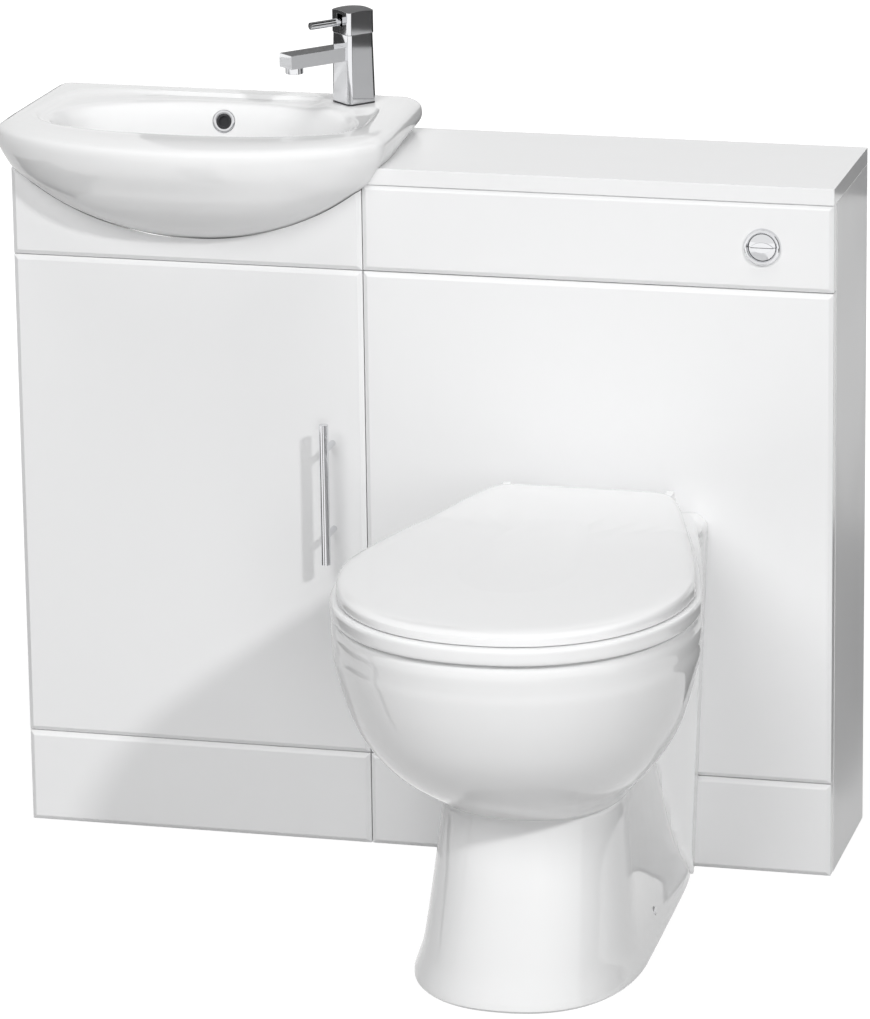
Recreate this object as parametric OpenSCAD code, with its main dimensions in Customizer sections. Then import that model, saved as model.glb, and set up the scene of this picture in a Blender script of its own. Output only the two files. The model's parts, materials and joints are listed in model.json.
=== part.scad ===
// Toilet and basin combination unit. X runs along the wall, +Y into the wall, +Z up.
// The origin is on the wall face, at floor level, on the joint between the two units.

/* [Carcass] */
// Width of the vanity unit, on the -X side of the joint
vanity_w = 390; // [370:1:430]
// Width of the WC unit, on the +X side of the joint
wc_w = 510; // [490:1:600]
// Depth of both units, from the wall to the face of the fronts
unit_d = 195; // [190:1:230]
// Height of the carcasses, under the worktop
carcass_h = 742; // [730:1:800]
// Thickness of carcass boards
board_t = 18; // [15:1:19]
// Thickness of the fronts
front_t = 18; // [16:1:20]
// Thickness of the worktop
worktop_t = 18; // [15:1:25]
// Height of the plinths
plinth_h = 103; // [80:1:120]
// Height of the fascias
fascia_h = 93; // [88:1:110]
// Gap between neighbouring fronts
front_gap = 2.5; // [1.5:0.5:4]
// Width of the bevel round each front
bevel_w = 5; // [2:0.5:7]
// Depth of the bevel round each front
bevel_d = 3.5; // [1:0.5:5]

/* [Vanity inside] */
// Height of the shelf above the base board
shelf_z = 190; // [120:5:260]
// Gap between the shelf and the fronts
shelf_setback = 14; // [8:1:40]
// Diameter of the shelf pins
shelf_pin_d = 5; // [4:0.5:6]
// Height of the wall rails
rail_h = 80; // [60:1:82]
// Diameter of the wall fixing holes
wall_hole_d = 6; // [4:0.5:8]
// Spacing of the vanity's wall fixing holes
vanity_hole_span = 220; // [180:5:240]
// Spacing of the WC unit's wall fixing holes
wc_hole_span = 400; // [300:5:420]

/* [Door] */
// Distance from the door's ends to the hinge centres
hinge_inset = 90; // [70:5:120]
// Diameter of the hinge cups
hinge_cup_d = 35; // [26:1:35]
// Distance from the door's edge to the cup centre
hinge_cup_edge = 22; // [20:0.5:25]
// Depth of the hinge cups in the door
hinge_cup_depth = 11.5; // [9:0.5:12]
// Diameter of the hinge link pin
hinge_pin_d = 4; // [3:0.5:5]
// Length of the hinge link
hinge_link = 38; // [30:1:42]
// Length of the handle bar
handle_l = 156; // [130:1:200]
// Diameter of the handle bar
handle_d = 10; // [8:1:14]
// Spacing of the handle posts
handle_span = 96; // [64:1:128]
// Distance from the door's free edge to the handle
handle_edge = 36; // [25:1:60]
// Height of the handle's middle above the door's lower edge
handle_z = 301; // [200:1:400]
// Distance from the door face to the bar's axis
handle_stand = 35; // [25:1:40]
// Diameter of the handle posts
handle_post_d = 7; // [5:1:8]
// Diameter of the handle screws
handle_screw_d = 4; // [3:0.5:5]

/* [Basin] */
// Distance of the basin's middle from the vanity's middle
basin_shift = 6; // [0:1:10]
// How far the basin stands out past half the vanity's width
basin_out = 20; // [14:1:24]
// Distance of the basin's front from the wall
basin_d = 285; // [270:1:310]
// Distance of the waste from the wall
waste_y = 110; // [100:1:125]
// Height of the rim above the carcass
rim_h = 54; // [48:1:60]
// Depth of the bowl's underside below the crest of the rim
bowl_drop = 128; // [115:1:135]
// Narrowing of the basin towards the wall, as a share of its width
basin_taper = 0.03; // [0.01:0.01:0.06]
// Diameter of the waste hole
waste_hole_d = 46; // [40:1:48]
// Diameter of the tap hole
tap_hole_d = 35; // [30:1:35]
// Diameter of the overflow hole
overflow_d = 15; // [12:1:18]
// Outer diameter of the overflow ring
overflow_ring_d = 25; // [22:1:28]

/* [Waste and trap] */
// Outer diameter of the waste's tail
waste_tail_d = 42; // [38:1:44]
// Diameter of the waste plug
plug_d = 58; // [50:1:62]
// Travel of the waste plug
plug_travel = 7; // [4:1:9]
// Diameter of the bottle trap's body
trap_d = 62; // [54:1:70]
// Length of the bottle trap below the waste
trap_l = 115; // [95:1:130]
// Outer diameter of the outlet pipe
outlet_d = 32; // [30:1:34]
// Wall of the outlet pipe
outlet_wall = 2; // [1.5:0.5:3]

/* [Tap] */
// Distance of the tap from the basin's side
tap_side = 72; // [65:1:80]
// Distance of the tap from the wall
tap_y = 44; // [38:1:55]
// Angle of the spout from straight ahead, towards the bowl
tap_turn = 41; // [20:1:60]
// Width of the tap's column at its foot
tap_w = 36; // [32:1:42]
// Height of the column up to the head
tap_h = 75; // [60:1:100]
// Height of the turning head
head_h = 25; // [20:1:32]
// Reach of the spout from the column's axis
spout_l = 88; // [75:1:110]
// Width of the spout
spout_w = 23; // [18:1:26]
// Thickness of the spout
spout_t = 15; // [12:1:17]
// Height of the spout's underside above the column's foot
spout_z = 47; // [30:1:50]
// Diameter of the aerator
aerator_d = 19; // [15:1:20]
// Diameter of the lever
lever_d = 8; // [6:1:9]
// Reach of the lever from the column's axis
lever_l = 55; // [40:1:70]
// Diameter of the stem that the head turns on
stem_d = 16; // [12:1:20]
// Diameter of the tap's tails
tail_d = 8; // [7:0.5:9]
// Height of the isolating valves above the floor
valve_z = 345; // [335:5:400]
// Spacing of the isolating valves
valve_gap = 42; // [38:1:60]

/* [Push button] */
// Distance of the push button from the unit's right side
button_x = 76; // [60:1:120]
// Outer diameter of the bezel
bezel_d = 40; // [36:1:46]
// Diameter across both button halves
button_d = 29; // [24:1:31]
// How far the bezel stands out of the fascia
bezel_out = 5; // [3:0.5:7]
// Travel of each button half
button_travel = 3; // [2:0.5:4]
// Diameter of the button's housing through the fascia
housing_d = 34; // [32:0.5:36]

/* [Cistern] */
// Width of the concealed cistern
cistern_w = 380; // [320:5:420]
// Height of the cistern's underside above the pan's flush inlet
cistern_rise = 79; // [76:1:100]
// Depth of the concealed cistern
cistern_d = 140; // [120:1:145]
// Room between the top of the tank and the top of the carcass
cistern_room = 68; // [66:1:90]
// Wall of the concealed cistern
cistern_wall = 4; // [3:0.5:6]
// Outer diameter of the flush pipe
flush_d = 40; // [36:1:44]
// Wall of the flush pipe
flush_wall = 2; // [1.5:0.5:3]

/* [Pan] */
// Half of the pan's greatest width
pan_hw = 188; // [180:1:196]
// Distance of the pan's rim from the face of the fronts
pan_l = 562; // [530:1:590]
// Height of the pan's rim
pan_h = 400; // [390:1:430]
// Half of the foot's width
foot_hw = 119; // [105:1:125]
// Distance of the foot's front from the face of the fronts
foot_l = 465; // [430:1:490]
// Half of the width of the pan's back at the top
back_hw = 121; // [112:1:130]
// Height of the centre of the pan's outlet
outlet_z = 185; // [180:1:190]
// Outer diameter of the pan's outlet
spigot_d = 102; // [98:1:104]
// Wall of the pan's outlet
spigot_wall = 9; // [7:1:12]
// Height of the centre of the flush inlet
inlet_z = 345; // [335:1:352]
// Thickness of the pan's walls
pan_wall = 13; // [11:1:15]
// Spacing of the seat's fixing holes
seat_hole_span = 155; // [140:1:165]
// Diameter of the seat's fixing holes
seat_hole_d = 14; // [12:1:16]
// Diameter of the side fixing holes in the foot
side_hole_d = 9; // [8:0.5:12]
// Outer diameter of the soil pipe
soil_d = 110; // [108:1:112]

/* [Seat and lid] */
// Thickness of the seat ring
seat_t = 17; // [14:1:20]
// Thickness of the lid
lid_t = 17; // [14:1:20]
// Height of the buffers under the seat and the lid
buffer_h = 3; // [2:0.5:5]
// Distance of the seat's hinge axis from the face of the fronts
seat_axis_y = 37; // [34:1:44]
// Width of the seat's opening
seat_open_w = 214; // [190:1:230]
// Diameter of the seat's hinge pins
seat_pin_d = 8; // [6:0.5:10]
// Radius of the hinge knuckles
knuckle_r = 8; // [7.5:0.5:9]

/* [Hidden] */

// Clearances: a running fit for pins, a seat between a soft or cast piece and its neighbour.
run = 0.05;
seat_gap = 0.3;
eps = 0.01;
$fn = 48;

// Heights of the fronts, from the floor up.
door_z = plinth_h + front_gap;
fascia_top = carcass_h - 1;
fascia_z = fascia_top - fascia_h;
door_h = fascia_z - front_gap - door_z;
inner_d = unit_d - front_t;
edge_gap = front_gap / 2;
base_z = plinth_h + 1;
shelf_top = base_z + board_t + shelf_z + board_t;
vanity_in_l = -vanity_w + board_t;
vanity_in_r = -board_t;
rail_z = carcass_h - rail_h;

// Basin levels and middle.
basin_x = -vanity_w / 2 + basin_shift;
basin_hw = vanity_w / 2 + basin_out;
rim_z = carcass_h + rim_h;
crest_z = rim_z - 9;
bowl_low_t = 76;
bowl_low_z = crest_z - bowl_drop * sin(bowl_low_t);
bowl_floor_z = bowl_low_z + 14;
tap_px = basin_x + basin_hw - tap_side;
gasket_t = 2;
tap_foot_z = rim_z + gasket_t;
stem_l = 7;
tail_off = 11.5;
supply_d = 15;
supply_l = 44;
valve_mid = vanity_in_r - 22 - valve_gap / 2;
valve_y = -tap_y;
head_z = tap_foot_z + tap_h + 0.5;
lever_z = head_z + head_h * 0.52;

// Trap levels.
tail_low_z = bowl_low_z - 58;
trap_top_z = tail_low_z + 8;
trap_low_z = tail_low_z - trap_l;
trap_out_z = trap_top_z - 48;

// Push button.
button_px = wc_w - button_x;
button_pz = fascia_z + fascia_h / 2;
rod_d = 5;

// Cistern levels: the cross rail carries the tank.
cistern_x = wc_w / 2;
cistern_z = inlet_z + cistern_rise;
cistern_h = carcass_h - cistern_room - cistern_z;
cistern_back = 12;
flush_y = -(cistern_back + cistern_d / 2);

// Pan levels.
pan_x = wc_w / 2;
face_y = -unit_d - seat_gap;
hinge_y = -unit_d - seat_axis_y;
hinge_z = pan_h + buffer_h + seat_t * 0.78;
seat_z = pan_h + buffer_h;
lid_z = seat_z + seat_t + 1;
side_hole_y = -unit_d - 0.46 * foot_l;
side_hole_z = 28;

module gloss() { color([0.93, 0.93, 0.93]) children(); }
module board() { color([0.9, 0.9, 0.89]) children(); }
module ceramic() { color([0.97, 0.97, 0.97]) children(); }
module chrome() { color([0.72, 0.73, 0.75]) children(); }
module plastic() { color([0.95, 0.95, 0.95]) children(); }
module rubber() { color([0.25, 0.25, 0.26]) children(); }
module brass() { color([0.75, 0.6, 0.3]) children(); }

// A cylinder along Y from y0 towards +Y.
module rod_y(d, l) { rotate([-90, 0, 0]) cylinder(d = d, h = l); }
// A cylinder along X, centred.
module rod_x(d, l) { rotate([0, 90, 0]) cylinder(d = d, h = l, center = true); }
// A round tube along Z.
module tube(d, wall, l) {
    difference() {
        cylinder(d = d, h = l);
        translate([0, 0, -eps]) cylinder(d = d - 2 * wall, h = l + 2 * eps);
    }
}

// A front with a bevel round its face. Its face is at y = 0 and it runs to y = front_t.
module front(w, h) {
    difference() {
        cube([w, front_t, h]);
        bevel_cut(h);
        translate([w, 0, 0]) mirror([1, 0, 0]) bevel_cut(h);
        rotate([0, 90, 0]) mirror([1, 0, 0]) bevel_cut(w);
        translate([0, 0, h]) rotate([0, 90, 0]) bevel_cut(w);
    }
}
// The wedge that one bevel takes away, along Z from the origin.
module bevel_cut(l) {
    translate([0, 0, -1]) linear_extrude(l + 2)
        polygon([[-1, -1], [bevel_w + bevel_w / bevel_d, -1], [-1, bevel_d + bevel_d / bevel_w]]);
}

// A signed power, for outlines between an ellipse and a rectangle.
function bent(c, e) = sign(c) * pow(abs(c), e);
// A D-shaped outline at height z: half width hw on the line y = yw, back at yr, front at yf.
// er and ef square up the back and the front, and k narrows the back by a share of the width.
function dee(hw, yw, yr, yf, er, ef, k, z, n, p = 1.2) = [
    for (i = [0 : n - 1])
        let (a = 360 * i / n, s = sin(a), e = s >= 0 ? 2 / er : 2 / ef, v = pow(abs(s), e))
        [bent(cos(a), e) * hw * (s > 0 ? 1 - k * pow(v, p) : 1),
         yw + (s >= 0 ? (yr - yw) * v : (yf - yw) * v), z]
];
// The mean of a ring's points.
function middle(r) = [for (k = [0 : 2]) [for (q = r) 1] * [for (q = r) q[k]] / len(r)];
// A closed skin over rings of equal length, from the first ring round to the last.
module skin(rings) {
    n = len(rings[0]);
    m = len(rings);
    points = concat([for (r = rings) each r], [middle(rings[0]), middle(rings[m - 1])]);
    sides = [
        for (j = [0 : m - 2], i = [0 : n - 1])
            let (a = j * n + i, b = j * n + (i + 1) % n)
            each [[a, a + n, b], [b, a + n, b + n]]
    ];
    low = [for (i = [0 : n - 1]) [i, (i + 1) % n, m * n]];
    high = [for (i = [0 : n - 1]) [(m - 1) * n + (i + 1) % n, (m - 1) * n + i, m * n + 1]];
    polyhedron(points, concat(sides, low, high), convexity = 6);
}

// ---- Vanity carcass ----
module vanity_side(x) {
    translate([x, -inner_d, 0]) cube([board_t, inner_d, carcass_h]);
}
module vanity_side_left() {
    gloss() difference() {
        vanity_side(-vanity_w);
        pin_holes();
    }
}
module vanity_side_right() {
    gloss() difference() {
        vanity_side(-board_t);
        pin_holes();
    }
}
// Blind holes for the shelf pins, 9 mm into both sides.
shelf_pin_l = 9;
// The shelf's notch for the supply pipes.
pipe_notch_x = valve_mid - valve_gap / 2 - 18;
pipe_notch_y = valve_y - 24;
shelf_pin_y = [-inner_d + shelf_setback + 30, pipe_notch_y - 12];
module pin_holes() {
    for (y = shelf_pin_y)
        translate([-vanity_w / 2, y, shelf_top - board_t - shelf_pin_d / 2])
            rod_x(shelf_pin_d, vanity_w - 2 * board_t + 2 * shelf_pin_l);
}
module shelf_pins() {
    chrome() for (y = shelf_pin_y, x = [vanity_in_l, vanity_in_r])
        translate([x, y, shelf_top - board_t - shelf_pin_d / 2]) rod_x(shelf_pin_d, 2 * shelf_pin_l);
}
module vanity_base() {
    board() difference() {
        translate([vanity_in_l, -inner_d, base_z]) cube([vanity_w - 2 * board_t, inner_d, board_t]);
        for (s = [-1, 1])
            translate([valve_mid + s * valve_gap / 2, valve_y, base_z - 1])
                cylinder(d = supply_d + 2 * seat_gap, h = board_t + 2);
    }
}
module vanity_wall_rail() {
    board() difference() {
        translate([vanity_in_l, -board_t, rail_z]) cube([vanity_w - 2 * board_t, board_t, rail_h]);
        for (s = [-1, 1])
            translate([-vanity_w / 2 + s * vanity_hole_span / 2, -board_t - 1, rail_z + rail_h / 2])
                rod_y(wall_hole_d, board_t + 2);
    }
}
// The cross rail stays clear of the waste and its nuts.
cross_rail_d = inner_d - waste_y - waste_tail_d / 2 - 15;
module vanity_cross_rail() {
    board() translate([vanity_in_l, -inner_d, fascia_z - front_gap - board_t])
        cube([vanity_w - 2 * board_t, cross_rail_d, board_t]);
}
// The fascia is cut to the bowl's own outline, with a small gap all round.
bowl_gap = 0.8;
module vanity_fascia() {
    gloss() difference() {
        translate([-vanity_w + edge_gap, -unit_d, fascia_z]) front(vanity_w - front_gap, fascia_h);
        translate([basin_x, 0, 0]) skin(concat(
            [for (t = bowl_steps) bowl_ring(t, bowl_gap)],
            [rim_ring(carcass_h + 1, 15 - bowl_gap, 0, 11)]
        ));
    }
}
module vanity_plinth() {
    gloss() translate([-vanity_w + edge_gap, -unit_d, 0]) front(vanity_w - front_gap, plinth_h);
}
module vanity_shelf() {
    y0 = -inner_d + shelf_setback;
    board() difference() {
        translate([vanity_in_l + 1, y0, shelf_top - board_t])
            cube([vanity_w - 2 * board_t - 2, -y0 - 2, board_t]);
        translate([pipe_notch_x, pipe_notch_y, shelf_top - board_t - 1])
            cube([-pipe_notch_x, 1 - pipe_notch_y, board_t + 2]);
    }
}

// ---- Door, hinges and handle ----
door_x = -vanity_w + edge_gap;
door_w = vanity_w - front_gap;
door_back = -unit_d + front_t;
hinge_zs = [door_z + hinge_inset, door_z + door_h - hinge_inset];
cup_x = door_x + hinge_cup_edge;
link_x = vanity_in_l + 9;
link_y = door_back + 5;
handle_x = -handle_edge;
handle_mid = door_z + handle_z;
module door() {
    gloss() difference() {
        translate([door_x, -unit_d, door_z]) front(door_w, door_h);
        for (z = hinge_zs)
            translate([cup_x, door_back - hinge_cup_depth, z]) rod_y(hinge_cup_d, hinge_cup_depth + 1);
        for (s = [-1, 1])
            translate([handle_x, -unit_d - 1, handle_mid + s * handle_span / 2])
                rod_y(handle_screw_d + 0.6, front_t + 2);
    }
}
module hinge_cups() {
    chrome() for (z = hinge_zs)
        translate([cup_x, door_back - hinge_cup_depth, z]) {
            difference() {
                rod_y(hinge_cup_d, hinge_cup_depth);
                translate([0, 1.5, 0]) rod_y(hinge_cup_d - 3, hinge_cup_depth + 1);
            }
            for (s = [-1, 1])
                translate([-3, hinge_cup_depth, s * (hinge_cup_d / 2 + 3) - 4.5]) cube([16, 1, 9]);
        }
}
module hinge_plates() {
    chrome() for (z = hinge_zs) {
        translate([vanity_in_l, -inner_d + 22, z - 22]) cube([3, 34, 44]);
        translate([vanity_in_l + 3, -inner_d + 14, z - 7]) cube([10, 42, 14]);
        for (s = [-1, 1])
            translate([link_x - 4, link_y - 4, z + (s > 0 ? 5.5 : -8)]) cube([8, 16, 2.5]);
        translate([link_x, link_y, z - 8]) cylinder(d = hinge_pin_d, h = 16);
    }
}
module hinge_arms() {
    chrome() for (z = hinge_zs)
        translate([link_x, link_y, z - 5]) difference() {
            union() {
                cylinder(d = hinge_pin_d + 3, h = 10);
                translate([0, -3.5, 0]) cube([hinge_link, 3, 10]);
            }
            translate([0, 0, -1]) cylinder(d = hinge_pin_d + 2 * run, h = 12);
        }
}
module handle_bar() {
    chrome() difference() {
        translate([handle_x, -unit_d - handle_stand, handle_mid - handle_l / 2])
            cylinder(d = handle_d, h = handle_l);
        for (s = [-1, 1])
            translate([handle_x, -unit_d - handle_stand, handle_mid + s * handle_span / 2])
                rod_y(handle_post_d - 1.8, handle_d);
    }
}
module handle_posts() {
    chrome() for (s = [-1, 1])
        translate([handle_x, -unit_d, handle_mid + s * handle_span / 2]) difference() {
            union() {
                difference() {
                    translate([0, -handle_stand, 0]) rod_y(handle_post_d, handle_stand);
                    translate([0, -handle_stand, -handle_post_d])
                        cylinder(d = handle_d + 0.04, h = 2 * handle_post_d);
                }
                translate([0, -handle_stand + 0.1, 0]) rod_y(handle_post_d - 2, handle_d);
            }
            translate([0, -12, 0]) rod_y(handle_screw_d, 13);
        }
}
module handle_screws() {
    chrome() for (s = [-1, 1])
        translate([handle_x, 0, handle_mid + s * handle_span / 2]) {
            translate([0, -unit_d - 11, 0]) rod_y(handle_screw_d, front_t + 11);
            translate([0, door_back, 0]) rod_y(handle_screw_d + 4.5, 2.2);
        }
}

// ---- Basin ----
basin_n = 56;
bowl_steps = [bowl_low_t, 68, 58, 47, 36, 27, 20.6];
// The bowl's underside at angle t below the crest, with t falling towards the crest. It can grow outward.
function bowl_ring(t, grow = 0) =
    dee(basin_hw * pow(cos(t), 1.35) + grow, -waste_y - 40 * pow(cos(t), 2),
        -waste_y + (waste_y - 14) * cos(t) + grow, -waste_y - (basin_d - waste_y) * cos(t) - grow,
        2.6, 2.6, 0.1, crest_z - bowl_drop * sin(t) - grow, basin_n);
// The rim's outside, with its insets at the sides, the back and the front. The front is part of a wider
// ellipse that the sides cut off, which leaves a soft corner at each end of it.
rim_corner = 15.5;
function rim_ring(z, side, back, ahead) = [
    for (q = dee(basin_hw - side + rim_corner, -waste_y - 40, -seat_gap - back, -basin_d + ahead,
                 14, 2, 0, z, basin_n))
        let (w = (basin_hw - side) * (1 - basin_taper * max(0, 1 + q[1] / (waste_y + 40))))
        [max(-w, min(w, q[0])), q[1], q[2]]
];
// The bowl's inside.
function inside_ring(z, hw, back, ahead, er) =
    dee(hw, -waste_y - 28, -back, -ahead, er, 2.5, 0.04, z, basin_n);
basin_rings = concat(
    [for (t = bowl_steps) bowl_ring(t)],
    [
        rim_ring(carcass_h + seat_gap, 16, 0, 12),
        rim_ring(carcass_h + 16, 7, 0, 4),
        rim_ring(carcass_h + 30, 1, 0, 0.5),
        rim_ring(crest_z - 4, 0, 0, 0),
        rim_ring(crest_z + 1, 2, 0.5, 2),
        rim_ring(rim_z - 4.5, 7, 2, 9),
        rim_ring(rim_z - 1.2, 14, 5, 24),
        rim_ring(rim_z, 22, 10, 40),
        inside_ring(rim_z, basin_hw - 31, 29, basin_d - 52, 7),
        inside_ring(rim_z - 4, basin_hw - 36, 33, basin_d - 57, 5),
        inside_ring(rim_z - 6, basin_hw - 46, 50, basin_d - 62, 2.3),
        inside_ring(rim_z - 14, basin_hw - 52, 56, basin_d - 68, 2.2),
        inside_ring(rim_z - 40, basin_hw - 60, 62, basin_d - 74, 2.2),
        inside_ring(rim_z - 68, basin_hw - 74, 66, basin_d - 84, 2.2),
        inside_ring(rim_z - 92, basin_hw - 100, 70, basin_d - 100, 2.2),
        inside_ring(rim_z - 108, basin_hw - 136, 75, basin_d - 126, 2),
        inside_ring(bowl_floor_z + 1, 34, 77, waste_y + 34, 2)
    ]
);
module basin() {
    ceramic() difference() {
        union() {
            translate([basin_x, 0, 0]) skin(basin_rings);
            translate([tap_px, -tap_y, rim_z - 30]) cylinder(d = tap_w * 1.5, h = 30);
        }
        translate([basin_x, -waste_y, bowl_low_z - 5]) cylinder(d = waste_hole_d, h = 30);
        translate([basin_x, -waste_y, bowl_floor_z - 3]) cylinder(d = plug_d + 6, h = 12);
        translate([tap_px, -tap_y, rim_z - 40]) cylinder(d = tap_hole_d, h = 50);
        translate([tap_px, -tap_y, rim_z - 120]) cylinder(d = tap_w * 1.6, h = 105);
        overflow_place() {
            translate([0, -20, 0]) rod_y(overflow_d, 34);
            translate([0, -30, 0]) rod_y(overflow_ring_d + 2 * seat_gap, 30);
        }
        basin_seat();
    }
}
// The overflow's axis is square to the bowl's back wall, and its ring lies on a spot face there.
overflow_z = rim_z - 25;
overflow_y = -57.4;
overflow_lean = 13;
module overflow_place() {
    translate([basin_x, overflow_y, overflow_z]) rotate([-overflow_lean, 0, 0]) children();
}
// What the carcass boards, the wall rail and the worktop take out of the basin's underside.
module basin_seat() {
    low = bowl_low_z - 1;
    tall = carcass_h + seat_gap - low;
    in_y = -inner_d - seat_gap;
    translate([-vanity_w - 60, in_y, low]) cube([board_t + 60 + seat_gap, inner_d + 10, tall]);
    translate([-board_t - seat_gap, in_y, low]) cube([board_t + 60, inner_d + 10, tall]);
    translate([-vanity_w, -board_t - seat_gap, low]) cube([vanity_w, board_t + 10, tall]);
    translate([-seat_gap, -unit_d - seat_gap, low])
        cube([60, unit_d + 10, carcass_h + worktop_t + seat_gap - low]);
}
module overflow_ring() {
    chrome() overflow_place() difference() {
        union() {
            translate([0, -2.2, 0]) rod_y(overflow_ring_d, 1.9);
            translate([0, -0.5, 0]) rod_y(overflow_d - 0.4, 10);
        }
        translate([0, -3, 0]) rod_y(overflow_d - 3, 16);
    }
}

// ---- Waste and trap ----
flange_z = bowl_floor_z - 3;
module waste_body() {
    chrome() translate([basin_x, -waste_y, 0]) difference() {
        union() {
            translate([0, 0, flange_z + seat_gap]) cylinder(d = plug_d + 4, h = 2.5);
            translate([0, 0, tail_low_z]) cylinder(d = waste_tail_d, h = flange_z + 1 - tail_low_z);
        }
        translate([0, 0, tail_low_z - 1]) cylinder(d = waste_tail_d - 5, h = flange_z - tail_low_z - 12);
        translate([0, 0, flange_z - 20]) cylinder(d = 10, h = 30);
        for (a = [0, 90, 180, 270])
            rotate([0, 0, a]) translate([12, 0, flange_z - 20]) cylinder(d = 8, h = 30);
    }
}
module waste_plug() {
    r = plug_d / 2;
    stem = 5 - run;
    low = -plug_travel - 12;
    chrome() translate([basin_x, -waste_y, flange_z + 2 * seat_gap + 2.5]) rotate_extrude() polygon(concat(
        [[0, low], [stem, low], [stem, 0], [r - 1, 0], [r, 1], [r, 2]],
        [for (k = [1 : 6]) [r * (1 - k / 6), 2 + 2.5 * (1 - pow(1 - k / 6, 2))]]
    ));
}
nut_z = bowl_low_z - 14;
module waste_nut() {
    chrome() translate([basin_x, -waste_y, nut_z]) difference() {
        union() {
            cylinder(d = 60, h = 8, $fn = 6);
            translate([0, 0, 8]) cylinder(d = 58, h = 14 - 8 - seat_gap);
        }
        translate([0, 0, -1]) cylinder(d = waste_tail_d + 0.2, h = 20);
    }
}
module trap_body() {
    plastic() translate([basin_x, -waste_y, 0]) difference() {
        union() {
            translate([0, 0, trap_low_z + 45]) cylinder(d = trap_d, h = trap_top_z - 22 - trap_low_z - 45);
            translate([0, 0, trap_top_z - 24]) cylinder(d = waste_tail_d + 8, h = 24);
            translate([0, 0, trap_out_z]) rod_y(outlet_d + 8, trap_d / 2 + 12);
        }
        translate([0, 0, trap_low_z + 40]) cylinder(d = trap_d - 6, h = trap_top_z - 28 - trap_low_z - 40);
        translate([0, 0, trap_top_z - 30]) cylinder(d = waste_tail_d - 4, h = 40);
        translate([0, 0, tail_low_z - 0.3]) cylinder(d = waste_tail_d + 0.4, h = 40);
        translate([0, trap_d / 2 - 12, trap_out_z]) rod_y(outlet_d - 2 * outlet_wall, 40);
        translate([0, trap_d / 2 + 2, trap_out_z]) rod_y(outlet_d + 0.4, 40);
    }
}
module trap_cup() {
    plastic() translate([basin_x, -waste_y, trap_low_z]) difference() {
        union() {
            translate([0, 0, 8]) cylinder(d = trap_d + 8, h = 44);
            cylinder(d1 = trap_d - 12, d2 = trap_d + 8, h = 8);
        }
        translate([0, 0, 45]) cylinder(d = trap_d + 0.2, h = 20);
        translate([0, 0, 5]) cylinder(d = trap_d - 8, h = 60);
    }
}
// Compression nuts, on the waste's tail and on the outlet.
outlet_nut_l = 13;
module trap_nuts() {
    plastic() {
        translate([basin_x, -waste_y, trap_top_z + 0.3]) difference() {
            cylinder(d = waste_tail_d + 16, h = 14, $fn = 12);
            translate([0, 0, -1]) cylinder(d = waste_tail_d + 0.2, h = 20);
        }
        translate([basin_x, -waste_y + trap_d / 2 + 12.3, trap_out_z]) rotate([-90, 0, 0])
            difference() {
                cylinder(d = outlet_d + 16, h = outlet_nut_l, $fn = 12);
                translate([0, 0, -1]) cylinder(d = outlet_d + 0.2, h = 20);
            }
    }
}
// The outlet pipe has a stop collar just behind its nut.
collar_t = 2;
module trap_outlet_pipe() {
    y0 = -waste_y + trap_d / 2 + 2.3;
    plastic() translate([basin_x, y0, trap_out_z]) rotate([-90, 0, 0]) {
        tube(outlet_d, outlet_wall, -y0);
        translate([0, 0, outlet_nut_l + 10 + seat_gap]) tube(outlet_d + 8, outlet_wall + 4, collar_t);
    }
}

// ---- Tap ----
head_w = tap_w - 2;
// A square with round corners.
module soft_square(w, r) {
    hull() for (x = [-1, 1], y = [-1, 1])
        translate([x * (w / 2 - r), y * (w / 2 - r)]) circle(r = r, $fn = 20);
}
module tap_place(z) {
    translate([tap_px, -tap_y, z]) rotate([0, 0, -tap_turn]) children();
}
aerator_l = 12;
aerator_in = 5;
module tap_body() {
    chrome() tap_place(tap_foot_z) difference() {
        union() {
            linear_extrude(tap_h, scale = (head_w - 1) / tap_w) soft_square(tap_w, 5);
            translate([-spout_w / 2, -spout_l, spout_z]) cube([spout_w, spout_l - 4, spout_t]);
            cylinder(d = stem_d, h = tap_h + 0.5 + stem_l);
        }
        translate([0, -spout_l + aerator_d / 2 + 2, spout_z - 1])
            cylinder(d = aerator_d - 2, h = aerator_in + 1);
        translate([0, 0, -1]) cylinder(d = stud_d + 0.2, h = 14);
    }
}
module tap_aerator() {
    chrome() tap_place(tap_foot_z + spout_z) translate([0, -spout_l + aerator_d / 2 + 2, 0]) difference() {
        union() {
            translate([0, 0, aerator_in - aerator_l]) cylinder(d = aerator_d, h = aerator_l - aerator_in);
            cylinder(d = aerator_d - 2, h = aerator_in);
        }
        translate([0, 0, aerator_in - aerator_l - 1]) cylinder(d = aerator_d - 5, h = 5);
    }
}
pivot_y = -8;
module tap_head() {
    slot_w = lever_d + 2.5;
    chrome() tap_place(head_z) difference() {
        intersection() {
            linear_extrude(head_h + 4) soft_square(head_w, 4);
            translate([0, 0, head_h + 2 - 90]) sphere(r = 90, $fn = 96);
        }
        translate([0, 0, -1]) cylinder(d = stem_d + 2 * run, h = stem_l + 1.3);
        translate([-slot_w / 2, -head_w, lever_z - head_z - lever_d / 2 - 1])
            cube([slot_w, head_w - 2, lever_d + 5.5]);
        translate([0, pivot_y, lever_z - head_z]) rod_x(3 + 2 * run, 24);
    }
}
module tap_lever() {
    chrome() tap_place(lever_z) {
        translate([0, -lever_l, 0]) rod_y(lever_d, lever_l - 5);
        translate([0, pivot_y, 0]) rod_x(3, 23);
    }
}
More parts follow.
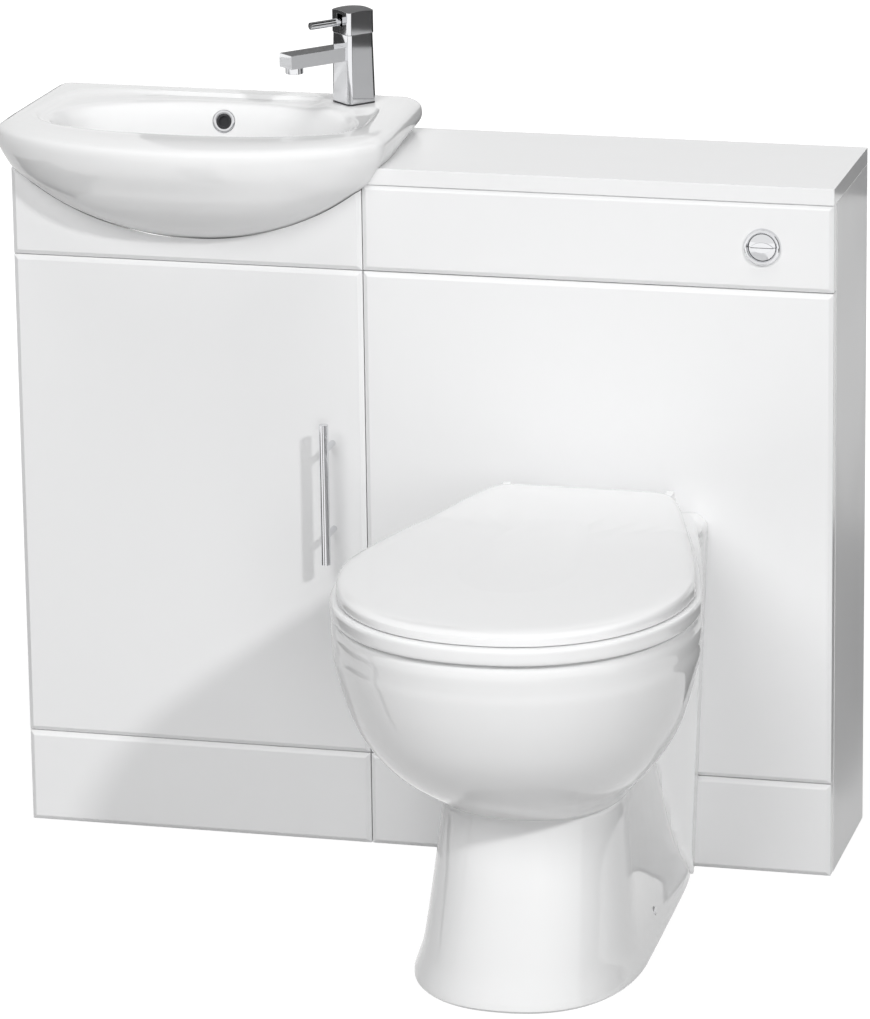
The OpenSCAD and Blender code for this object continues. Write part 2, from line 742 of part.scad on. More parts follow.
module tap_gasket() {
    rubber() tap_place(rim_z) difference() {
        linear_extrude(gasket_t) soft_square(tap_w - 0.6, 5);
        translate([0, 0, -1]) cylinder(d = 2 * tail_off + tail_d + 1, h = gasket_t + 2);
    }
}
stud_d = 8;
stud_l = 46;
clamp_z = rim_z - 15;
module tap_clamp() {
    brass() tap_place(0) {
        translate([0, 0, tap_foot_z + 12 - stud_l]) cylinder(d = stud_d, h = stud_l);
        translate([0, 0, clamp_z - seat_gap - 3]) difference() {
            cylinder(d = tap_hole_d + 10, h = 3);
            for (s = [-1, 1]) translate([s * tail_off, 0, -1]) cylinder(d = tail_d + 1, h = 5);
        }
        translate([0, 0, clamp_z - seat_gap - 9]) cylinder(d = 2 * tail_off - tail_d - 1, h = 6.2, $fn = 6);
    }
}
// Each tail runs down from the tap's foot and swings out to its valve.
function tail_path(s) =
    let (top = tap_foot_z - 0.2, low = valve_z + 40)
    [for (i = [0 : 24])
        let (u = i / 24, w = u * u * (3 - 2 * u), r = tail_off + (valve_gap / 2 - tail_off) * w,
             b = -tap_turn * (1 - w))
        [tap_px + (valve_mid - tap_px) * w + s * r * cos(b), valve_y + s * r * sin(b),
         top + (low - top) * u]];
// A round hose swept along a path that runs down, in level rings of 10 points.
module hose(path, d) {
    skin([for (i = [len(path) - 1 : -1 : 0])
        [for (k = [0 : 9]) path[i] + d / 2 * [cos(36 * k), sin(36 * k), 0]]]);
}
module tap_tails() {
    chrome() for (s = [-1, 1]) hose(tail_path(s), tail_d);
}
module isolating_valves() {
    chrome() for (s = [-1, 1]) translate([valve_mid + s * valve_gap / 2, valve_y, 0]) difference() {
        union() {
            translate([0, 0, valve_z + 24]) cylinder(d = 17, h = 15.7, $fn = 6);
            translate([0, 0, valve_z]) cylinder(d = 16, h = 24);
            translate([0, 0, valve_z - 12]) cylinder(d = 20, h = 12, $fn = 6);
            translate([0, 0, base_z - supply_l])
                cylinder(d = supply_d, h = valve_z - base_z + supply_l - 11);
            translate([0, 0, base_z - seat_gap - collar_t]) cylinder(d = supply_d + 8, h = collar_t);
        }
        translate([0, -9, valve_z + 12]) rod_y(6, 3);
    }
}

// ---- WC unit ----
module wc_side_left() {
    gloss() translate([0, -inner_d, 0]) cube([board_t, inner_d, carcass_h]);
}
module wc_side_right() {
    gloss() translate([wc_w - board_t, -inner_d, 0]) cube([board_t, inner_d, carcass_h]);
}
module wc_worktop() {
    gloss() translate([0, -unit_d, carcass_h]) cube([wc_w, unit_d, worktop_t]);
}
module wc_fascia() {
    gloss() difference() {
        translate([edge_gap, -unit_d, fascia_z]) front(wc_w - front_gap, fascia_h);
        translate([button_px, -unit_d - 1, button_pz]) rod_y(housing_d + 1, front_t + 2);
    }
}
module wc_front_panel() {
    gloss() difference() {
        translate([edge_gap, -unit_d, door_z]) front(wc_w - front_gap, door_h);
        translate([pan_x, -unit_d - 1, outlet_z]) rod_y(spigot_d + 12, front_t + 2);
        translate([pan_x, -unit_d - 1, inlet_z]) rod_y(flush_d + 22, front_t + 2);
    }
}
module wc_plinth() {
    gloss() translate([edge_gap, -unit_d, 0]) front(wc_w - front_gap, plinth_h);
}
wc_rail_z = outlet_z + soil_d / 2 + 50;
module wc_wall_rail() {
    board() difference() {
        translate([board_t, -board_t, wc_rail_z]) cube([wc_w - 2 * board_t, board_t, rail_h]);
        for (s = [-1, 1])
            translate([wc_w / 2 + s * wc_hole_span / 2, -board_t - 1, wc_rail_z + rail_h / 2])
                rod_y(wall_hole_d, board_t + 2);
    }
}
module wc_cross_rail() {
    board() difference() {
        translate([board_t, -inner_d + 20, cistern_z - board_t])
            cube([wc_w - 2 * board_t, inner_d - 20 - cistern_back, board_t]);
        translate([cistern_x, flush_y, cistern_z - board_t - 1]) cylinder(d = flush_d + 24, h = board_t + 2);
        translate([valve_x, flush_y, cistern_z - board_t - 1]) cylinder(d = 46, h = board_t + 2);
    }
}

// ---- Cistern ----
valve_x = cistern_x + cistern_w * 0.32;
inlet_d = 20.9;
flush_seat_z = cistern_z + cistern_wall;
flush_top_z = cistern_z + cistern_h - 20;
tower_d = 36;
module cistern_tank() {
    plastic() difference() {
        translate([cistern_x - cistern_w / 2, -cistern_back - cistern_d, cistern_z])
            cube([cistern_w, cistern_d, cistern_h]);
        translate([cistern_x - cistern_w / 2 + cistern_wall, -cistern_back - cistern_d + cistern_wall,
                   cistern_z + cistern_wall])
            cube([cistern_w - 2 * cistern_wall, cistern_d - 2 * cistern_wall, cistern_h]);
        translate([cistern_x, flush_y, cistern_z - 1]) cylinder(d = flush_d + 12, h = cistern_wall + 2);
        translate([valve_x, flush_y, cistern_z - 1]) cylinder(d = inlet_d + 0.6, h = cistern_wall + 2);
    }
}
module cistern_lid() {
    top = cistern_z + cistern_h;
    plastic() difference() {
        translate([cistern_x - cistern_w / 2 - 3, -cistern_back - cistern_d - 3, top - 8])
            cube([cistern_w + 6, cistern_d + 6, 12]);
        translate([cistern_x - cistern_w / 2 - seat_gap, -cistern_back - cistern_d - seat_gap, top - 9])
            cube([cistern_w + 2 * seat_gap, cistern_d + 2 * seat_gap, 9]);
        for (s = [-1, 1])
            translate([cistern_x + s * 9, flush_y, top - 9]) cylinder(d = air_d + 2 * seat_gap, h = 20);
    }
}
// The float's pin sits between two ears beside the fill valve's column.
float_x = valve_x - 26;
float_d = 36;
float_room = 9.6;
float_arm = float_x - (cistern_x + tower_d / 2 + float_room + float_d / 2);
float_z = cistern_z + cistern_h * 0.632;
float_pin_d = 4;
module fill_valve() {
    plastic() translate([valve_x, flush_y, 0]) difference() {
        union() {
            translate([0, 0, cistern_z - 46]) cylinder(d = inlet_d, h = 56);
            translate([0, 0, cistern_z - 8]) cylinder(d = 32, h = 8 - seat_gap, $fn = 6);
            translate([0, 0, cistern_z + cistern_wall + seat_gap]) cylinder(d = 30, h = 6);
            translate([0, 0, cistern_z + 10]) cylinder(d = 18, h = cistern_h - 60);
            translate([0, 0, float_z - 6]) cylinder(d = 34, h = 28);
            for (s = [-1, 1])
                translate([-32, s * 8 - 2, float_z - 6]) cube([22, 4, 12]);
        }
        translate([0, 0, cistern_z - 47]) cylinder(d = 12, h = 40);
        translate([float_x - valve_x, -15, float_z]) rod_y(float_pin_d + 2 * run, 30);
    }
}
module fill_float() {
    plastic() translate([float_x, flush_y, float_z]) {
        translate([0, -9.8, 0]) rod_y(float_pin_d, 19.6);
        translate([10 - float_arm, -4, -4]) cube([float_arm - 9, 8, 8]);
        translate([-float_arm, 0, -34]) cylinder(d = float_d, h = 38);
    }
}
barrel_h = cistern_h * 0.36;
module flush_valve() {
    plastic() translate([cistern_x, flush_y, 0]) difference() {
        union() {
            translate([0, 0, cistern_z - 34]) cylinder(d = flush_d + 8, h = 40);
            translate([0, 0, cistern_z - 14]) cylinder(d = flush_d + 22, h = 13.7, $fn = 8);
            translate([0, 0, flush_seat_z + 0.3]) cylinder(d = flush_d + 24, h = 6);
            translate([0, 0, flush_seat_z + 6]) cylinder(d = 66, h = barrel_h);
            translate([0, 0, flush_seat_z + 6 + barrel_h])
                cylinder(d = tower_d, h = flush_top_z - flush_seat_z - 6 - barrel_h);
        }
        translate([0, 0, cistern_z - 35]) cylinder(d = flush_d + 0.4, h = 24);
        translate([0, 0, cistern_z - 20]) cylinder(d = flush_d - 6, h = 30);
        translate([0, 0, flush_seat_z + 5]) cylinder(d = 58, h = barrel_h - 6);
        for (a = [0 : 60 : 300])
            rotate([0, 0, a]) translate([20, -7, flush_seat_z + 14]) cube([20, 14, barrel_h - 30]);
    }
}
bend_r = 48;
flush_top = cistern_z - 11.3;
module flush_pipe() {
    drop = flush_top - (inlet_z + bend_r);
    plastic() {
        translate([pan_x, flush_y, inlet_z + bend_r]) tube(flush_d, flush_wall, drop);
        translate([pan_x, flush_y - bend_r, inlet_z + bend_r]) rotate([0, 90, 0])
            rotate_extrude(angle = 90) translate([bend_r, 0]) difference() {
                circle(d = flush_d);
                circle(d = flush_d - 2 * flush_wall);
            }
        translate([pan_x, face_y - 20, inlet_z]) rotate([-90, 0, 0])
            tube(flush_d, flush_wall, flush_y - bend_r - face_y + 20);
    }
}

// ---- Push button ----
module button_at(y) { translate([button_px, -unit_d + y, button_pz]) rotate([-90, 0, 0]) children(); }
housing_l = front_t + 16;
module button_bezel() {
    chrome() button_at(-bezel_out) difference() {
        union() {
            rotate_extrude() polygon([
                [button_d / 2, bezel_out], [button_d / 2, 1],
                [button_d / 2 + 1, 0], [bezel_d / 2 - 3.5, 0.4],
                [bezel_d / 2 - 1.2, 1.8], [bezel_d / 2, bezel_out - 0.2], [bezel_d / 2, bezel_out]
            ]);
            translate([0, 0, bezel_out - 1]) cylinder(d = housing_d, h = housing_l + 1);
            translate([0, 0, bezel_out + front_t + seat_gap]) cylinder(d = housing_d + 12, h = 6);
        }
        translate([0, 0, -1]) cylinder(d = button_d + 2 * run, h = bezel_out + housing_l - 11);
        for (s = [-1, 1])
            translate([0, -s * button_d / 4, 0])
                cylinder(d = rod_d + 2 * run, h = bezel_out + housing_l - 2);
    }
}
// Half a round button with its rod. The face is gently domed and carries half of a raised lens.
module half_button(s) {
    cut = 0.3;
    button_at(-bezel_out + 1.2) {
        intersection() {
            union() {
                intersection() {
                    cylinder(d = button_d - 0.6, h = 9);
                    translate([0, 0, 60]) sphere(r = 60, $fn = 96);
                }
                lens_face();
            }
            translate([-30, s > 0 ? -30 : cut, -5]) cube([60, 30 - cut, 20]);
        }
        translate([0, -s * button_d / 4, 8])
            cylinder(d = rod_d, h = bezel_out + housing_l - 4.2 - button_travel - 8);
    }
}
module lens_face() {
    lens_r = 17;
    translate([0, 0, -1.4]) linear_extrude(4) intersection() {
        translate([0, lens_r - 5.5]) circle(r = lens_r);
        translate([0, -lens_r + 5.5]) circle(r = lens_r);
    }
}
module button_half() { chrome() half_button(1); }
module button_full() { chrome() half_button(-1); }
// Two air tubes from the back of the housing, over the cistern and down through its lid.
module run_of_tube(points, d) {
    for (i = [0 : len(points) - 2]) {
        a = points[i];
        b = points[i + 1];
        v = b - a;
        translate(a) rotate([0, acos(v[2] / norm(v)), atan2(v[1], v[0])]) cylinder(d = d, h = norm(v));
        if (i > 0) translate(a) sphere(d = d);
    }
}
air_d = 5;
module air_tubes() {
    y0 = -unit_d + housing_l + seat_gap;
    z1 = flush_top_z + seat_gap;
    rubber() for (s = [-1, 1]) {
        z = button_pz + s * button_d / 4;
        x = cistern_x - s * 9;
        run_of_tube([[button_px, y0, z], [button_px, flush_y, z], [x, flush_y, z], [x, flush_y, z1]], air_d);
    }
}

// ---- Pan ----
pan_n = 52;
function pan_ring(z, hw, ahead, yw, k, er, ef, back = 0) =
    dee(hw, -unit_d - yw, face_y - back, -unit_d - ahead, er, ef, k, z, pan_n, 1.1);
wide_y = pan_l - 202;
foot_y = foot_l - 160;
low_z = outlet_z - 15;
module pan_outside() {
    b = pan_h;
    skin([
        pan_ring(0, foot_hw - 3, foot_l - 3, foot_y, 0.08, 12, 2.3),
        pan_ring(3, foot_hw, foot_l, foot_y, 0.08, 12, 2.3),
        pan_ring(14, foot_hw - 3, foot_l - 5, foot_y, 0.09, 12, 2.3),
        pan_ring(30, foot_hw - 8, foot_l - 14, foot_y, 0.13, 11, 2.3),
        pan_ring(60, foot_hw - 13, foot_l - 27, foot_y, 0.18, 10, 2.3),
        pan_ring(100, foot_hw - 17, foot_l - 43, foot_y - 8, 0.235, 9, 2.3),
        pan_ring(low_z - 30, foot_hw - 21, foot_l - 58, foot_y - 14, 0.29, 8, 2.3),
        pan_ring(low_z, foot_hw - 24, foot_l - 70, foot_y - 20, 0.31, 7, 2.3),
        pan_ring(low_z + 12, foot_hw - 26, foot_l - 74, foot_y - 20, 0.31, 7, 2.3),
        pan_ring(low_z + 18, foot_hw - 20, foot_l - 58, foot_y - 14, 0.33, 6, 2.2),
        pan_ring(low_z + 34, pan_hw - 78, pan_l - 122, wide_y - 55, 0.48, 4, 2.1),
        pan_ring(low_z + 60, pan_hw - 57, pan_l - 78, wide_y - 26, 0.57, 3.5, 2.1),
        pan_ring(low_z + 86, pan_hw - 38, pan_l - 48, wide_y - 12, 0.6, 3.2, 2.1),
        pan_ring(low_z + 116, pan_hw - 22, pan_l - 25, wide_y - 4, 0.6, 3.2, 2.1),
        pan_ring(b - 78, pan_hw - 10, pan_l - 10, wide_y, 0.58, 3.2, 2.1),
        pan_ring(b - 40, pan_hw - 1, pan_l - 2, wide_y, 0.5, 3.6, 2.1),
        pan_ring(b - 10, pan_hw, pan_l, wide_y, 0.4, 6, 2.1),
        pan_ring(b - 3, pan_hw - 2.5, pan_l - 3, wide_y, 0.39, 7, 2.1),
        pan_ring(b, pan_hw - 8, pan_l - 9, wide_y, 0.38, 7, 2.1)
    ]);
}
bowl_y = wide_y - 14;
rim_t = 32;
function cavity_ring(z, hw, ahead, back, yw) =
    dee(hw, -unit_d - yw, -unit_d - back, -unit_d - ahead, 2.1, 2.1, 0, z, pan_n);
// The bowl's inside. Below its rim it widens to a thin wall.
module pan_cavity() {
    skin([
        cavity_ring(low_z - 16, 34, bowl_y - 10, bowl_y - 100, bowl_y - 56),
        cavity_ring(low_z + 4, 68, bowl_y + 18, bowl_y - 118, bowl_y - 52),
        cavity_ring(low_z + 36, 96, bowl_y + 70, bowl_y - 138, bowl_y - 40),
        cavity_ring(low_z + 62, pan_hw - 70, pan_l - 108, bowl_y - 156, bowl_y - 26),
        cavity_ring(low_z + 88, pan_hw - 50, pan_l - 74, bowl_y - 174, bowl_y - 14),
        cavity_ring(low_z + 118, pan_hw - 35, pan_l - 47, bowl_y - 190, bowl_y),
        cavity_ring(pan_h - 76, pan_hw - 26, pan_l - 30, bowl_y - 204, bowl_y),
        cavity_ring(pan_h - rim_t - 2, pan_hw - 21, pan_l - 25, bowl_y - 206, bowl_y),
        cavity_ring(pan_h - rim_t, pan_hw - 46, pan_l - 47, bowl_y - 206, bowl_y),
        cavity_ring(pan_h - 12, pan_hw - 48, pan_l - 49, bowl_y - 206, bowl_y),
        cavity_ring(pan_h + 1, pan_hw - 52, pan_l - 54, bowl_y - 200, bowl_y)
    ]);
}
// The hollow under the bowl, open at the floor and at the back.
module foot_cavity() {
    w = pan_wall;
    skin([
        pan_ring(-1, foot_hw - w - 1, foot_l - w - 2, foot_y, 0.12, 8, 2.3, -12),
        pan_ring(30, foot_hw - w - 9, foot_l - w - 16, foot_y, 0.24, 6, 2.3, -12),
        pan_ring(60, foot_hw - w - 14, foot_l - w - 29, foot_y, 0.34, 5, 2.3, -12),
        pan_ring(90, foot_hw - w - 18, foot_l - w - 41, foot_y - 8, 0.42, 4, 2.3, -12),
        pan_ring(low_z - 50, foot_hw - w - 26, foot_l - w - 62, foot_y - 14, 0.44, 4, 2.3, -12),
        pan_ring(low_z - 31, foot_hw - w - 34, foot_l - w - 84, foot_y - 14, 0.46, 4, 2.3, -12)
    ]);
}
// The hollow behind the bowl and under the deck, open at the back, and the recess in the flange.
module rear_chamber() {
    low = low_z - 70;
    wide = back_hw;
    translate([0, face_y, low]) linear_extrude(pan_h - 28 - low) polygon([
        [-0.27 * wide, 1], [0.27 * wide, 1], [0.27 * wide, -28], [0.38 * wide, -56],
        [0.46 * wide, -112], [-0.46 * wide, -112], [-0.38 * wide, -56], [-0.27 * wide, -28]
    ]);
    translate([0, face_y + 1, 0]) rotate([90, 0, 0]) linear_extrude(flange_t - 9) polygon([
        [-foot_hw + 27, -1], [foot_hw - 27, -1], [wide - 14, pan_h - 30], [-wide + 14, pan_h - 30]
    ]);
}
// The flat back that stands against the fronts, wider at the top.
flange_t = 24;
module pan_back() {
    translate([0, face_y, 0]) rotate([90, 0, 0]) linear_extrude(flange_t) polygon([
        [-foot_hw + 13, 0], [foot_hw - 13, 0], [back_hw, pan_h - 14], [back_hw - 4, pan_h - 3],
        [back_hw - 12, pan_h], [-back_hw + 12, pan_h], [-back_hw + 4, pan_h - 3], [-back_hw, pan_h - 14]
    ]);
}
// The flat top between the back and the rim, where the seat is fixed.
module pan_deck() {
    translate([0, face_y - 120, pan_h - 26]) linear_extrude(26) polygon([
        [-back_hw + 12, 120], [back_hw - 12, 120], [back_hw - 2, 110], [back_hw + 4, 0], [-back_hw - 4, 0],
        [-back_hw + 2, 110]
    ]);
}
spigot_end = -unit_d + front_t + 30;
module pan() {
    ceramic() translate([pan_x, 0, 0]) difference() {
        union() {
            difference() {
                union() {
                    pan_outside();
                    pan_back();
                    pan_deck();
                }
                foot_cavity();
                rear_chamber();
                for (s = [-1, 1]) translate([s * seat_hole_span / 2 - 17, hinge_y - 17, pan_h - 90])
                    cube([34, face_y - flange_t - hinge_y + 17, 64]);
            }
            translate([0, face_y - 60, outlet_z]) rod_y(spigot_d, spigot_end - face_y + 60);
            translate([0, face_y - 113, inlet_z]) rod_y(flush_d + 22, 111);
            trapway(trap_bore + 2 * spigot_wall - 2);
        }
        pan_cavity();
        trapway(trap_bore);
        translate([0, face_y - 40, outlet_z]) rod_y(spigot_d - 2 * spigot_wall, 200);
        translate([0, face_y - 170, inlet_z]) rod_y(flush_d - 6, 171);
        translate([0, face_y - 24, inlet_z]) rod_y(flush_d + 8, 30);
        for (s = [-1, 1]) {
            translate([s * seat_hole_span / 2, hinge_y, pan_h - 27]) cylinder(d = seat_hole_d, h = 28);
            translate([s * foot_hw, side_hole_y, side_hole_z]) rod_x(side_hole_d, 60);
        }
    }
}
// The way out of the bowl: down behind its floor, up over the weir, then out to the back.
trap_bore = 70;
trap_points = [
    [-bowl_y + 20, low_z + 12], [-bowl_y + 56, low_z - 14],
    [-bowl_y + 96, low_z - 52], [-bowl_y + 152, low_z - 62],
    [-176, low_z - 24], [-134, low_z + 22], [-97, outlet_z + 30], [-52, outlet_z + 9], [-21, outlet_z]
];
// Rings square to the path of the trap, which lies on the plane x = 0.
module trapway(d) {
    m = len(trap_points) - 1;
    skin([
        for (i = [0 : m])
            let (p = trap_points[i],
                 v = trap_points[min(i + 1, m)] - trap_points[max(i - 1, 0)], u = v / norm(v))
            [for (k = [0 : 15])
                let (a = 22.5 * k, r = d / 2)
                [r * cos(a), -unit_d + p[0] + u[1] * r * sin(a), p[1] - u[0] * r * sin(a)]]
    ]);
}
module flush_seal() {
    rubber() translate([pan_x, face_y - 20, inlet_z]) rotate([-90, 0, 0]) difference() {
        cylinder(d = flush_d + 8 - 2 * seat_gap, h = 19.5);
        translate([0, 0, -1]) cylinder(d = flush_d + 0.2, h = 30);
    }
}
socket_wall = 7;
module pan_connector() {
    y0 = spigot_end - 24;
    rubber() translate([pan_x, y0, outlet_z]) rotate([-90, 0, 0]) difference() {
        union() {
            cylinder(d = spigot_d + 2 * socket_wall, h = 42);
            translate([0, 0, 41]) cylinder(d = soil_d, h = -y0 - 41);
        }
        translate([0, 0, -1]) cylinder(d = spigot_d + 0.4, h = 25.4);
        translate([0, 0, 20]) cylinder(d = spigot_d - 2 * spigot_wall, h = -y0);
    }
}
bracket_x = foot_hw - pan_wall - 20;
foot_side_x = 0.97 * (foot_hw - 8);
module floor_brackets() {
    chrome() for (s = [-1, 1]) translate([pan_x, side_hole_y, 0]) mirror([s < 0 ? 1 : 0, 0, 0]) {
        difference() {
            union() {
                translate([bracket_x - 38, -20, 0]) cube([38, 40, 3]);
                translate([bracket_x - 3, -20, 0]) cube([3, 40, side_hole_z + 12]);
            }
            translate([bracket_x - 20, 0, -1]) cylinder(d = 7, h = 5);
            translate([bracket_x, 0, side_hole_z]) rod_x(6.2, 20);
        }
        translate([(bracket_x + foot_side_x) / 2 - 4, 0, side_hole_z]) rod_x(6, foot_side_x - bracket_x + 8);
        translate([foot_side_x - 1, 0, side_hole_z]) rod_x(side_hole_d - 1, 3);
    }
}

// ---- Seat and lid ----
seat_n = 60;
function seat_ring(z, inset) =
    dee(pan_hw - inset, -unit_d - wide_y, hinge_y - 12 - inset, -unit_d - pan_l - 3 + inset, 16, 2.15, 0.46, z,
        seat_n, 1.2);
function hole_ring(z, inset) =
    dee(seat_open_w / 2 - inset, -unit_d - wide_y + 4, -unit_d - wide_y + 176 - inset,
        -unit_d - pan_l + 62 + inset, 2.4, 2.1, 0.12, z, seat_n);
knuckle_in = seat_hole_span / 2 - 22;
knuckle_out = seat_hole_span / 2 + 11;
module seat() {
    plastic() translate([pan_x, 0, 0]) {
        difference() {
            union() {
                difference() {
                    skin([
                        seat_ring(seat_z, 3), seat_ring(seat_z + 2.5, 0.5), seat_ring(seat_z + seat_t - 4, 0),
                        seat_ring(seat_z + seat_t - 1, 2), seat_ring(seat_z + seat_t, 6)
                    ]);
                    skin([
                        hole_ring(seat_z - 1, 0), hole_ring(seat_z + seat_t - 6, 0),
                        hole_ring(seat_z + seat_t - 1.5, -4), hole_ring(seat_z + seat_t + 1, -9)
                    ]);
                }
                for (s = [-1, 1]) {
                    translate([s * knuckle_in, hinge_y, hinge_z]) rod_x(2 * knuckle_r, 14);
                    translate([s * knuckle_in - 7, hinge_y - 26, seat_z + 2]) cube([14, 26, seat_t - 4]);
                }
            }
            for (s = [-1, 1]) translate([s * knuckle_in, hinge_y, hinge_z]) rod_x(seat_pin_d + 2 * run, 20);
        }
    }
}
// The lid's top falls a little from the front to a soft valley, then rises to the hinge.
lid_valley = -unit_d - 190;
function lid_top(y) =
    let (u = (y - lid_valley) / 190)
    lid_z + lid_t + (u > 0 ? 4 * min(u, 0.8) : 4 * (1 - pow(1 + max(u, -1), 2)) - 2 * pow(u, 2));
function lid_ring(inset, drop) = [
    for (q = seat_ring(0, inset)) [q[0], q[1], lid_top(q[1]) - drop]
];
module lid() {
    plastic() translate([pan_x, 0, 0]) difference() {
        union() {
            skin([
                seat_ring(lid_z, 8), seat_ring(lid_z + 2, 6.5), seat_ring(lid_z + lid_t * 0.5, 6.5),
                lid_ring(8, 4.5), lid_ring(12, 1.8), lid_ring(18, 0.5), lid_ring(30, 0), lid_ring(56, 0),
                lid_ring(90, 0)
            ]);
            for (s = [-1, 1]) {
                translate([s * knuckle_out, hinge_y, hinge_z]) rod_x(2 * knuckle_r, 8);
                translate([s * knuckle_out - 4, hinge_y - 40, lid_z + 0.5]) cube([8, 40, lid_t - 5]);
                translate([s * knuckle_out - 4, hinge_y - 5, hinge_z]) cube([8, 10, lid_z + 4 - hinge_z]);
            }
        }
        for (s = [-1, 1]) translate([s * knuckle_out, hinge_y, hinge_z]) rod_x(seat_pin_d + 2 * run, 20);
    }
}
module seat_hinges() {
    chrome() translate([pan_x, 0, 0]) for (s = [-1, 1]) translate([s * seat_hole_span / 2, hinge_y, 0]) {
        translate([0, 0, pan_h + seat_gap]) cylinder(d = 13, h = hinge_z - pan_h);
        translate([0, 0, hinge_z]) rod_x(2 * knuckle_r - 1, 13);
        translate([s * -8, 0, hinge_z]) rod_x(seat_pin_d, 44);
        translate([0, 0, pan_h - 60]) cylinder(d = 8, h = 62);
        translate([0, 0, pan_h - 26 - 8 - seat_gap]) cylinder(d = 24, h = 8, $fn = 6);
    }
}
module buffers(z, h, d) {
    for (s = [-1, 1]) {
        translate([pan_x + s * pan_hw * 0.81, -unit_d - wide_y + 55, z]) cylinder(d = d, h = h);
        translate([pan_x + s * pan_hw * 0.57, -unit_d - pan_l + 77, z]) cylinder(d = d, h = h);
    }
}
module seat_buffers() { rubber() buffers(pan_h, buffer_h, 14); }
module lid_buffers() { rubber() buffers(lid_z - 1, 1, 12); }

vanity_side_left();
vanity_side_right();
vanity_base();
vanity_wall_rail();
vanity_cross_rail();
vanity_fascia();
vanity_plinth();
vanity_shelf();
shelf_pins();
hinge_plates();
hinge_arms();
hinge_cups();
door();
handle_bar();
handle_posts();
handle_screws();
basin();
overflow_ring();
waste_body();
waste_plug();
waste_nut();
trap_body();
trap_cup();
trap_nuts();
trap_outlet_pipe();
tap_body();
tap_aerator();
tap_head();
tap_lever();
tap_gasket();
tap_clamp();
tap_tails();
isolating_valves();
wc_side_left();
wc_side_right();
wc_worktop();
wc_fascia();
wc_front_panel();
wc_plinth();
wc_wall_rail();
wc_cross_rail();
cistern_tank();
cistern_lid();
fill_valve();
fill_float();
flush_valve();
flush_pipe();
button_bezel();
button_full();
button_half();
air_tubes();
pan();
flush_seal();
pan_connector();
floor_brackets();
seat_hinges();
seat();
lid();
seat_buffers();
lid_buffers();
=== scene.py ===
# %% [markdown]
# # A basin cabinet and toilet in one white unit
# This lesson dresses a measured model of a small bathroom unit: a cabinet with a basin and a tap, and
# beside it a toilet pan in front of a panel that hides its cistern. The measured solids give every size.
# Here they get rounded edges, true ceramic curves, finishes, a studio and a camera.

# %% Load the measured model
import json
import math

import bmesh
import bpy
import numpy as np
from mathutils import Matrix, Vector

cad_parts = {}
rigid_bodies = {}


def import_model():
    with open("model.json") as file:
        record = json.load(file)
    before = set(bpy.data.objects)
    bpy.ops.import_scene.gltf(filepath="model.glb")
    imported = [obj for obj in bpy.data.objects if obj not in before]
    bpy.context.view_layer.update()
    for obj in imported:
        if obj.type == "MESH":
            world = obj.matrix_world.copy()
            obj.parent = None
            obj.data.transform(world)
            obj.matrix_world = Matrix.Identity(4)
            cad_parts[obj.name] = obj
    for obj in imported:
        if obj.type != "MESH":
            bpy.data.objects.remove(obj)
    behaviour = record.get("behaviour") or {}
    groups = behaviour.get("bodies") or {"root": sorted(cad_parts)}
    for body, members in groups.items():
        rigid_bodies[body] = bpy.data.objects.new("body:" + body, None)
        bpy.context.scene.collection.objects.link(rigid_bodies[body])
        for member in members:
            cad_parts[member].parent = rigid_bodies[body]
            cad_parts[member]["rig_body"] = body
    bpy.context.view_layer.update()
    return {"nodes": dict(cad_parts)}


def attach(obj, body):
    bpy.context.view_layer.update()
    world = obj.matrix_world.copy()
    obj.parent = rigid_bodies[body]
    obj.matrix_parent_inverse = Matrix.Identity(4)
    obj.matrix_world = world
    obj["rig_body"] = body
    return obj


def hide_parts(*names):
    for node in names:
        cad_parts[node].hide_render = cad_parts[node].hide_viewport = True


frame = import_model()
MM = 0.001

# %% [markdown]
# ## The camera
# A long lens from far away keeps upright edges nearly parallel, as a catalogue picture does. It looks
# down a little and stands to the right of the unit, so that the right side shows as a narrow strip.

# %% Set the camera
LENS_MM = 211.97
CAMERA_AT = (1.6067, -6.1788, 2.2292)
YAW, PITCH, ROLL = math.radians(14.342), math.radians(16.611), math.radians(-0.786)
camera_data = bpy.data.cameras.new("camera")
camera_data.lens = LENS_MM
camera_data.sensor_fit = "VERTICAL"
camera_data.sensor_height = 36
camera_data.clip_end = 60
camera = bpy.data.objects.new("camera", camera_data)
facing = Matrix.Rotation(YAW, 4, "Z") @ Matrix.Rotation(math.pi / 2 - PITCH, 4, "X")
facing = facing @ Matrix.Rotation(ROLL, 4, "Z")
camera.matrix_world = Matrix.Translation(CAMERA_AT) @ facing
bpy.context.scene.collection.objects.link(camera)
bpy.context.scene.camera = camera
print("camera at", CAMERA_AT)

# %% [markdown]
# ## Shader groups
# Real finishes are never one flat value. Three small groups give the slow drift of tone in a pressed
# board or a glaze, the fine pebble of a moulded or sprayed surface, and the faint smears that hands
# leave. Each is built once and used in many materials with its own numbers.

# %% A helper for groups and their nodes
def group(name, inputs, outputs):
    tree = bpy.data.node_groups.new(name, "ShaderNodeTree")
    for socket, kind, value in inputs:
        made = tree.interface.new_socket(socket, in_out="INPUT", socket_type=kind)
        made.default_value = value
    for socket, kind in outputs:
        tree.interface.new_socket(socket, in_out="OUTPUT", socket_type=kind)
    return tree, tree.nodes.new("NodeGroupInput"), tree.nodes.new("NodeGroupOutput")


def node(tree, kind, links=(), **values):
    made = tree.nodes.new("ShaderNode" + kind)
    for key, value in values.items():
        if hasattr(made, key):
            setattr(made, key, value)
        else:
            made.inputs[key.replace("_", " ").title()].default_value = value
    for source, target in links:
        tree.links.new(source, made.inputs[target])
    return made


